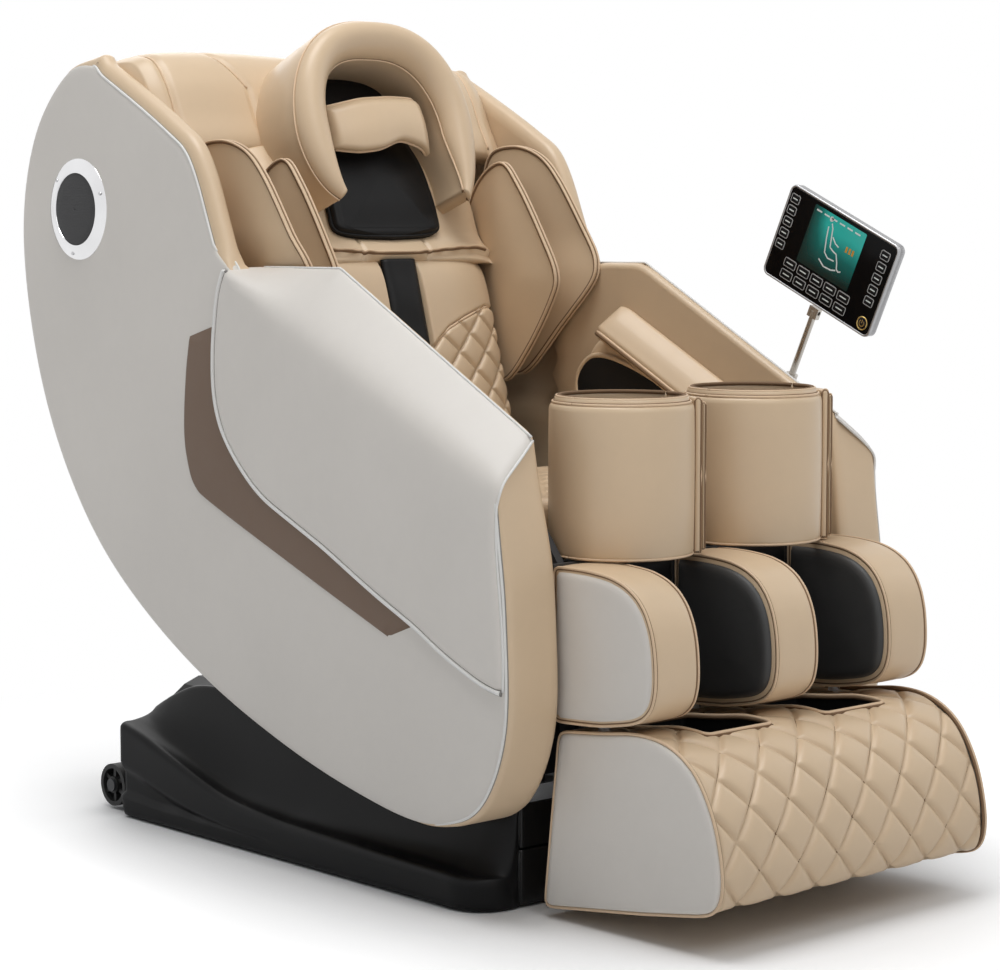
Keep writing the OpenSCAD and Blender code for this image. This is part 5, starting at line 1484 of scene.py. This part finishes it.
DIVIDERS = (
    ("middle", -0.040, 0.040, 0, "calf_dividers"),
    ("left", 0.186, 0.266, 1, None),
    ("right", -0.266, -0.186, -1, None),
)
CHEEKS = ((0.0405, 1, "inner"), (0.1855, -1, "outer"))
CALF_BACK_X, CALF_BACK_Z = (0.052, 0.174), (0.272, 0.466)
CALF_BACK_Y = -0.3945


def calf_rests():
    """Dividers with black padded cheeks facing the calves, and a black pad behind each calf."""
    for name, *extent in DIVIDERS:
        divider(f"calf_divider_{name}", *extent)
    line = evened(softened(inset(DIVIDER_LINE, 0.010), 2), 0.006, True)
    for side, sx in SIDES:
        for x, facing, name in CHEEKS:
            cheek = face_pad(line, mirrored(sx, x, facing), 0.012, 0.012, 0.008, 0.0055, 0.05)
            node = "calf_pads" if (sx, facing) == (1, 1) else None
            # The cheeks take the lighter copy of the black leather, a painted highlight.
            piece(f"calf_cheek_{name}_{side}", *cheek, CALF_BLACK_PAINTED_HIGHLIGHT, "leg_rest", node, 0.75)
        x, z = np.meshgrid(np.linspace(*CALF_BACK_X, 30), np.linspace(*CALF_BACK_Z, 40))
        (x0, x1), (z0, z1) = CALF_BACK_X, CALF_BACK_Z
        d = np.minimum(np.minimum(x - x0, x1 - x), np.minimum(z - z0, z1 - z))
        front = np.dstack([sx * x, CALF_BACK_Y - 0.006 - 0.009 * round_in(d, 0.014), z])
        rear = np.dstack([sx * x, np.full(x.shape, CALF_BACK_Y), z])
        piece(f"calf_back_{side}", *slab(front, rear), BLACK, "leg_rest", fill=0.6)


FOOT_TOP = mm([
    (-402, 252), (-480, 260), (-545, 268), (-600, 262), (-645, 236), (-676, 190), (-692, 140), (-697, 96),
    (-688, 66), (-664, 55),
])
FOOT_UNDER = mm([(-664, 55), (-560, 38), (-375, 13)])
FOOT_HALF = 0.2575
FOOT_SIDE_X = 0.2590
FOOT_LINE = evened(spline(FOOT_TOP, 12), 0.0026)
FOOT_RUN = line_run(FOOT_LINE)
FOOT_QUILT = (0.0735, 0.085)
FOOT_QUILT_LIFT = 0.012
WELL_X, WELL_W = 0.113, 0.127
WELL_FRONT, WELL_REAR = -0.588, -0.424
WELL_MIDDLE = (WELL_X, (WELL_FRONT + WELL_REAR) / 2)
WELL_FLOOR, TOE_TOP, TOE_END = 0.123, 0.188, -0.651


def beside_well(x, run):
    """Distance from the wells of a place on the foot cover, less than 0 over them, and its y."""
    y = np.interp(run, FOOT_RUN, FOOT_LINE[:, 0])
    return np.maximum(np.abs(np.abs(x) - WELL_X) - WELL_W / 2, WELL_FRONT - y), y


def foot_depth(x, run):
    """How far the foot cover lies below the line of its top, across and along its run."""
    beside, y = beside_well(x, run)
    calm = smooth((run - 0.004) / 0.010) * smooth(beside / 0.007)
    calm *= smooth((FOOT_HALF - np.abs(x)) / 0.010)
    edge = 0.006 * np.exp(-(((FOOT_HALF - np.abs(x)) / 0.004) ** 2))
    sewn = 0.0035 * (1 - smooth(np.abs(beside) / 0.008)) * (y > WELL_FRONT - 0.010)
    return 0.0012 + quilt_depth(x, run - FOOT_QUILT_LIFT, *FOOT_QUILT, 0.0085) * calm + edge + sewn


def on_foot(x, run, lift=0.0):
    """A place on the foot cover."""
    sides = FOOT_LINE, -line_out(FOOT_LINE)
    yz, out = (np.column_stack([np.interp(run, FOOT_RUN, v[:, i]) for i in (0, 1)]) for v in sides)
    return at_x(x, yz + (lift - foot_depth(x, run))[:, None] * out)


def foot_top_z(y):
    """Height of the foot cover's flat top."""
    flat = FOOT_LINE[:, 1].argmax() + 40
    return np.interp(y, FOOT_LINE[flat::-1, 0], FOOT_LINE[flat::-1, 1])


def foot_cover():
    """Quilted foot cover, open over the wells."""
    under = evened(FOOT_UNDER, 0.02)[1:]
    rows = []
    for x in np.linspace(-FOOT_HALF, FOOT_HALF, 236):
        rows.append(np.vstack([on_foot(x, FOOT_RUN), at_x(x, under)]))
    verts, faces = lattice(rows)
    n = len(rows[0])
    kept = []
    for f in faces:
        x, y, z = verts[list(f)].mean(0)
        on_top = z > 0.24 and max(k % n for k in f) < len(FOOT_RUN)
        if not (on_top and abs(abs(x) - WELL_X) < WELL_W / 2 and WELL_FRONT < y < WELL_REAR):
            kept.append(f)
    piece("foot_cover_quilted", verts, kept, TAN, "foot_rest", "foot_cover", 0.8)
    seams = []
    for line in quilt_seams((-0.249, -0.002), (0.249, FOOT_RUN[-1] - 0.016), *FOOT_QUILT):
        line = line + (0, FOOT_QUILT_LIFT)
        for part in pieces_of(line, beside_well(*line.T)[0] > 0.006):
            seams.append(tube(on_foot(*part.T, 0.0001), 0.0010, 6))
    # The dark tubes along the sewn diagonals are painted shade in the quilt's seam creases.
    piece("foot_quilt_seam_shade", *joined(seams), TAN_CREASE_SHADE, "foot_rest")


def foot_rest():
    """Quilted foot cover with grey side panels and two lined wells."""
    foot_cover()
    line = evened(np.vstack([spline(FOOT_TOP, 12), FOOT_UNDER[1:]]), 0.008, True)
    line = evened(softened(line, 3), 0.006, True)
    for side, sx in SIDES:
        panel = face_pad(inset(line, 0.002), mirrored(sx, FOOT_SIDE_X), 0.016, 0.010, 0.0048, 0.0018, 0.05)
        piece(f"foot_side_{side}", *panel, GREY, "foot_rest", for_both(sx, "foot_side_panels"), 0.6)
        rim = edge_piping(line, 0.0008, sx * 0.2586, sx)
        piped(f"foot_side_piping_{side}", [rim], 0.0022, TAN_PIPED, "foot_rest", True, 0.0005)
        foot_well(side, sx)


def foot_well(side, sx):
    """A black lined well, open towards the toes, its rim piped."""
    wide, long = WELL_W - 0.004, WELL_REAR - WELL_FRONT - 0.004
    xy = rounded(wide, long, 0.008, 5) + WELL_MIDDLE
    rise = foot_top_z(xy[:, 1]) - 0.002 - WELL_FLOOR
    rings = [np.column_stack([sx * xy[:, 0], xy[:, 1], WELL_FLOOR + rise * k]) for k in np.linspace(0, 1, 7)]
    verts, faces = lattice(rings)
    walls = []
    for f in faces:
        _, y, z = verts[list(f)].mean(0)
        if y >= WELL_FRONT + 0.004 or z >= TOE_TOP:
            walls.append(f)
    box_x = sx * (WELL_X + wide / 2 * np.array([-1, 1, 1, -1]))
    box_z = [WELL_FLOOR, WELL_FLOOR, TOE_TOP, TOE_TOP]
    toe_y = TOE_END, -0.63, -0.61, WELL_FRONT + 0.002
    toe, toe_faces = lattice([np.column_stack([box_x, np.full(4, y), box_z]) for y in toe_y])
    liner = joined([(verts, walls + [tuple(range(len(xy)))]), (toe, toe_faces + [(0, 1, 2, 3)])])
    piece(f"foot_well_liner_{side}", *liner, BLACK, "foot_rest", for_both(sx, "foot_wells"))
    path = rounded(WELL_W - 0.001, WELL_REAR - WELL_FRONT - 0.001, 0.010, 6) + WELL_MIDDLE
    path = evened(path, 0.005, True)
    rim = np.column_stack([sx * path[:, 0], path[:, 1], foot_top_z(path[:, 1]) - 0.0034])
    piped(f"foot_well_piping_{side}", [(rim, (0, 0, 1))], 0.0026, TAN_PIPED, "foot_rest", True, 0.0008)


# ---------------------------------------------------------------- base

SKIRT_STATIONS = mm([
    (-325, 47, 142), (-318, 48, 144), (-305, 49, 146), (-285, 50, 148), (-242, 52, 150), (-140, 54, 154),
    (-34, 57, 162), (60, 59, 178), (134, 63, 198), (250, 78, 212), (380, 116, 212), (450, 138, 192),
    (500, 149, 166),
])
SKIRT_IN, SKIRT_OUT = 0.2613, 0.333
SKIRT_FRONT, SKIRT_REAR = -0.325, 0.5
SKIRT_CORNER = 0.055
FENDER = ((0.80, 0, -1), (0.62, 0.03, 0), (0.42, 0.19, 0), (0.24, 0.48, 0), (0.11, 0.90, 0), (0.07, 1, -1.5))


def skirt_section(y, ridge, rim):
    """Places across a skirt at y: its foot, upright flank, rounded ridge, and fender up to the rim."""
    into = np.clip(SKIRT_FRONT + SKIRT_CORNER - y, 0, SKIRT_CORNER)
    out = SKIRT_OUT - SKIRT_CORNER + math.sqrt(SKIRT_CORNER**2 - into**2)
    out -= 0.006 * (1 - math.sqrt(max(0.0, 1 - max(0.0, 1 - (SKIRT_REAR - y) / 0.006) ** 2)))
    wide, rise = out - SKIRT_IN, rim - ridge
    flank_z = np.concatenate([[0.003, 0.0045], np.linspace(0.010, ridge - 0.012, 22)])
    flank_x = out + min(0.006, wide / 10) * np.clip(flank_z / 0.04, 0, 1)
    flank_x[:2] -= 0.003, 0.001
    rear = np.clip((y - 0.10) / 0.40, 0, 1)
    low = 0.022 + 0.012 * rear
    high = low + 0.006 + (ridge - 0.026 - low) * rear * 0.55
    hollow = smooth((y - 0.115) / 0.03) * smooth((flank_z - low) / 0.003) * smooth((high - flank_z) / 0.02)
    flank_x -= 0.0085 * hollow
    a = np.linspace(0, math.pi / 2, 7)[1:]
    r = min(0.010, wide * 0.3)
    corner_x = flank_x[-1] - r + r * np.cos(a)
    corner_z = ridge - 0.010 + 0.009 * np.sin(a)
    key = [(SKIRT_IN + across * wide, ridge + up * rise + lift / 1000) for across, up, lift in FENDER]
    key = np.array([(corner_x[-1], corner_z[-1]), *key, (SKIRT_IN, rim)])
    fender = resample(spline(key, 6), 34)[1:]
    x = np.concatenate([flank_x, corner_x, fender[:, 0], [SKIRT_IN]])
    return x, np.concatenate([flank_z, corner_z, fender[:, 1], [0.003]])


def base_skirts():
    """Side skirts of the base: an upright flank, a rounded ridge and a hollow fender up to the rim."""
    stations = evened(spline(SKIRT_STATIONS, 12), 0.006)
    front = SKIRT_FRONT + SKIRT_CORNER * (1 - np.cos(np.linspace(0, math.pi / 2, 14)))
    behind = stations[stations[:, 0] > -0.268, 0]
    y = np.unique(np.round(np.concatenate([front, behind, [SKIRT_REAR - 0.0015, SKIRT_REAR]]), 5))
    ridge, rim = (np.interp(y, stations[:, 0], stations[:, k]) for k in (1, 2))
    for side, sx in SIDES:
        rings = []
        for at in zip(y, ridge, rim):
            x, z = skirt_section(*at)
            rings.append(np.column_stack([sx * x, np.full(len(x), at[0]), z]))
        piece(f"base_skirt_cover_{side}", *closed_loft(rings), BASE, "base", f"base_skirt_{side}")


TOWER_HALF, TOWER_DEEP, TOWER_CORNER = 0.2608, 0.083, 0.012
TOWER_BLOCKS = (
    ("base_front_lower", 0.003, 0.0795, "base_front_cover"),
    ("base_front_upper", 0.0812, 0.1415, None),
)
FILLET_LEVELS = ((0.006, 0.03, 0.06, 0.078), (0.083, 0.10, 0.12, 0.138))


def base_tower():
    """Front block between the skirts, with a split line and rounded edges."""
    half, r = TOWER_HALF, TOWER_CORNER
    a = np.linspace(0, math.pi / 2, 9)
    left = np.column_stack([-(half - r + r * np.cos(a)), SKIRT_FRONT + r - r * np.sin(a)])
    rear = SKIRT_FRONT + TOWER_DEEP
    outline = np.vstack([left, (left * (-1, 1))[::-1], [(half, rear), (-half, rear)]])
    for name, z0, z1, node in TOWER_BLOCKS:
        edges = ((z0, 0.0015), (z0 + 0.0015, 0), (z1 - 0.0022, 0), (z1 - 0.0008, 0.0008), (z1, 0.003))
        rings = [np.column_stack([inset(outline, d), np.full(len(outline), z)]) for z, d in edges]
        piece(name, *closed_loft(rings), BASE_GLOSS, "base", node, smoothed=False)
    rods = []
    for sx in (1, -1):
        for levels in FILLET_LEVELS:
            rods.append(tube([(sx * 0.2585, SKIRT_FRONT + 0.0020, z) for z in levels], 0.0024))
    piece("base_front_fillets", *joined(rods), BASE_GLOSS, "base")


FRAME_FINISHES = {
    STEEL: ("base_frame", "seat_frame", "back_frame", "calf_frame"),
    BRIGHT: (
        "front_rollers", "rear_rollers", "tilt_rails", "massage_rails", "recline_rod", "leg_rod",
        "foot_slide_rods", "power_unit",
    ),
    POLE_METAL: ("pole_socket", "remote_pole"),
    BASE: (
        "base_rear_cover", "power_inlet", "recline_motor", "leg_motor", "air_pump", "massage_carriage",
    ),
    RUBBER: ("base_feet", "transport_wheel_left", "transport_wheel_right"),
    RED: ("power_switch",),
    GREY: ("rear_cover",),
    TAN_TRIM: ("kneading_rollers",),
}


def frame_finishes():
    """Finishes of the parts that keep their CAD shape."""
    for material, nodes in FRAME_FINISHES.items():
        for node in nodes:
            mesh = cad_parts[node].data
            mesh.materials.clear()
            mesh.materials.append(material)


# ---------------------------------------------------------------- stage

FLOOR_LIFT = 0.46
FLOOR_RINGS = (0.01, 1, 2, 3, 5, 9)
WHITE = (1, 1, 1, 1)
LAMPS = (
    ("key", (-0.6, -3.0, 3.4), (0.0, 0.0, 0.6), 2.2, 34, (1.0, 0.985, 0.96)),
    ("top", (-0.6, -0.2, 4.2), (0.0, -0.1, 0.5), 2.2, 86, (1.0, 1.0, 1.0)),
    ("right", (3.2, -1.6, 2.2), (0.0, 0.0, 0.6), 1.6, 6, (1.0, 0.99, 0.97)),
    ("rim", (1.2, 2.8, 2.6), (0.0, 0.0, 0.9), 1.8, 12, (1.0, 1.0, 1.0)),
)
CAMERA_AT = (-2.6842, -2.9775, 0.9296)
CAMERA_TURN, CAMERA_LIFT = math.radians(-42.02), math.radians(5.72)
FOCAL, SENSOR = 98.78, 36


def put(name, data):
    """A new object in the scene."""
    obj = bpy.data.objects.new(name, data)
    bpy.context.scene.collection.objects.link(obj)
    return obj


def floor_material():
    """A pale floor, lit a little for the camera but not where it is in the shade, and white far out."""
    made, tree, shader = new_material("pale_floor")
    bare = maths(tree, "POWER", add(tree, "AmbientOcclusion", {"Distance": 0.35}).outputs["AO"], 3.0)
    lift = maths(tree, "MULTIPLY", bare, FLOOR_LIFT)
    seen = add(tree, "LightPath").outputs["Is Camera Ray"]
    feed(tree, shader, {
        "Base Color": (0.80, 0.80, 0.805, 1),
        "Roughness": 0.55,
        "Specular IOR Level": 0.15,
        "Emission Color": WHITE,
        "Emission Strength": maths(tree, "MULTIPLY", lift, seen),
    })
    glow = add(tree, "Emission", {"Color": WHITE, "Strength": 1.0}).outputs[0]
    place = add(tree, "TexCoord").outputs["Object"]
    far = add(tree, "VectorMath", {0: place}, operation="LENGTH").outputs["Value"]
    reach = {"Value": far, "From Min": 0.75, "From Max": 1.5}
    fade = add(tree, "MapRange", reach, interpolation_type="SMOOTHSTEP").outputs[0]
    mix = add(tree, "MixShader", {0: fade, 1: shader.outputs[0], 2: glow})
    feed(tree, tree.nodes["Material Output"], {"Surface": mix.outputs[0]})
    return made


def surround():
    """A world that is white where it is seen or mirrored, and lights softly."""
    world = bpy.data.worlds.new("surround")
    bpy.context.scene.world = world
    world.use_nodes = True
    tree = world.node_tree
    light = tree.nodes["Background"]
    feed(tree, light, {"Color": (0.93, 0.965, 1.0, 1), "Strength": 0.25})
    white = add(tree, "Background", {"Color": WHITE, "Strength": 1.0})
    path = add(tree, "LightPath").outputs
    seen = maths(tree, "MAXIMUM", path["Is Camera Ray"], path["Is Transmission Ray"])
    seen = maths(tree, "MAXIMUM", seen, path["Is Glossy Ray"])
    mix = add(tree, "MixShader", {0: seen, 1: light.outputs[0], 2: white.outputs[0]})
    feed(tree, tree.nodes["World Output"], {"Surface": mix.outputs[0]})


def stage():
    """Pale floor that fades into a white surround, soft lights and the camera."""
    mesh = bpy.data.meshes.new("floor")
    turn = np.linspace(0, 2 * math.pi, 64, endpoint=False)
    verts, faces = lattice([[(r * math.cos(a), r * math.sin(a), 0.0) for a in turn] for r in FLOOR_RINGS])
    mesh.from_pydata([tuple(map(float, v)) for v in verts], [], faces + [tuple(range(len(turn)))])
    put("floor", mesh)
    mesh.materials.append(floor_material())
    surround()
    for name, at, to, size, power, colour in LAMPS:
        light = bpy.data.lights.new(name, "AREA")
        light.energy = power
        light.size = size
        light.color = colour
        lamp = put(name, light)
        lamp.location = at
        lamp.rotation_euler = (Vector(to) - Vector(at)).to_track_quat("-Z", "Y").to_euler()
    lens = bpy.data.cameras.new("camera")
    lens.lens = FOCAL
    lens.sensor_width = SENSOR
    camera = put("camera", lens)
    level = math.cos(CAMERA_LIFT)
    back = (math.sin(CAMERA_TURN) * level, -math.cos(CAMERA_TURN) * level, math.sin(CAMERA_LIFT))
    camera.location = CAMERA_AT
    camera.rotation_euler = (-Vector(back)).to_track_quat("-Z", "Y").to_euler()
    bpy.context.scene.camera = camera
    bpy.context.scene.view_settings.view_transform = "Standard"


stage()
side_shells()
speakers()
remote()
back_cushion()
spine_strip()
shoulder_roll()
collar()
neck_pad()
head_pillow()
hood()
shoulder_pads()
arm_linings()
arm_planks()
seat_cushion()
knee_wraps()
calf_rests()
foot_rest()
base_skirts()
base_tower()
frame_finishes()
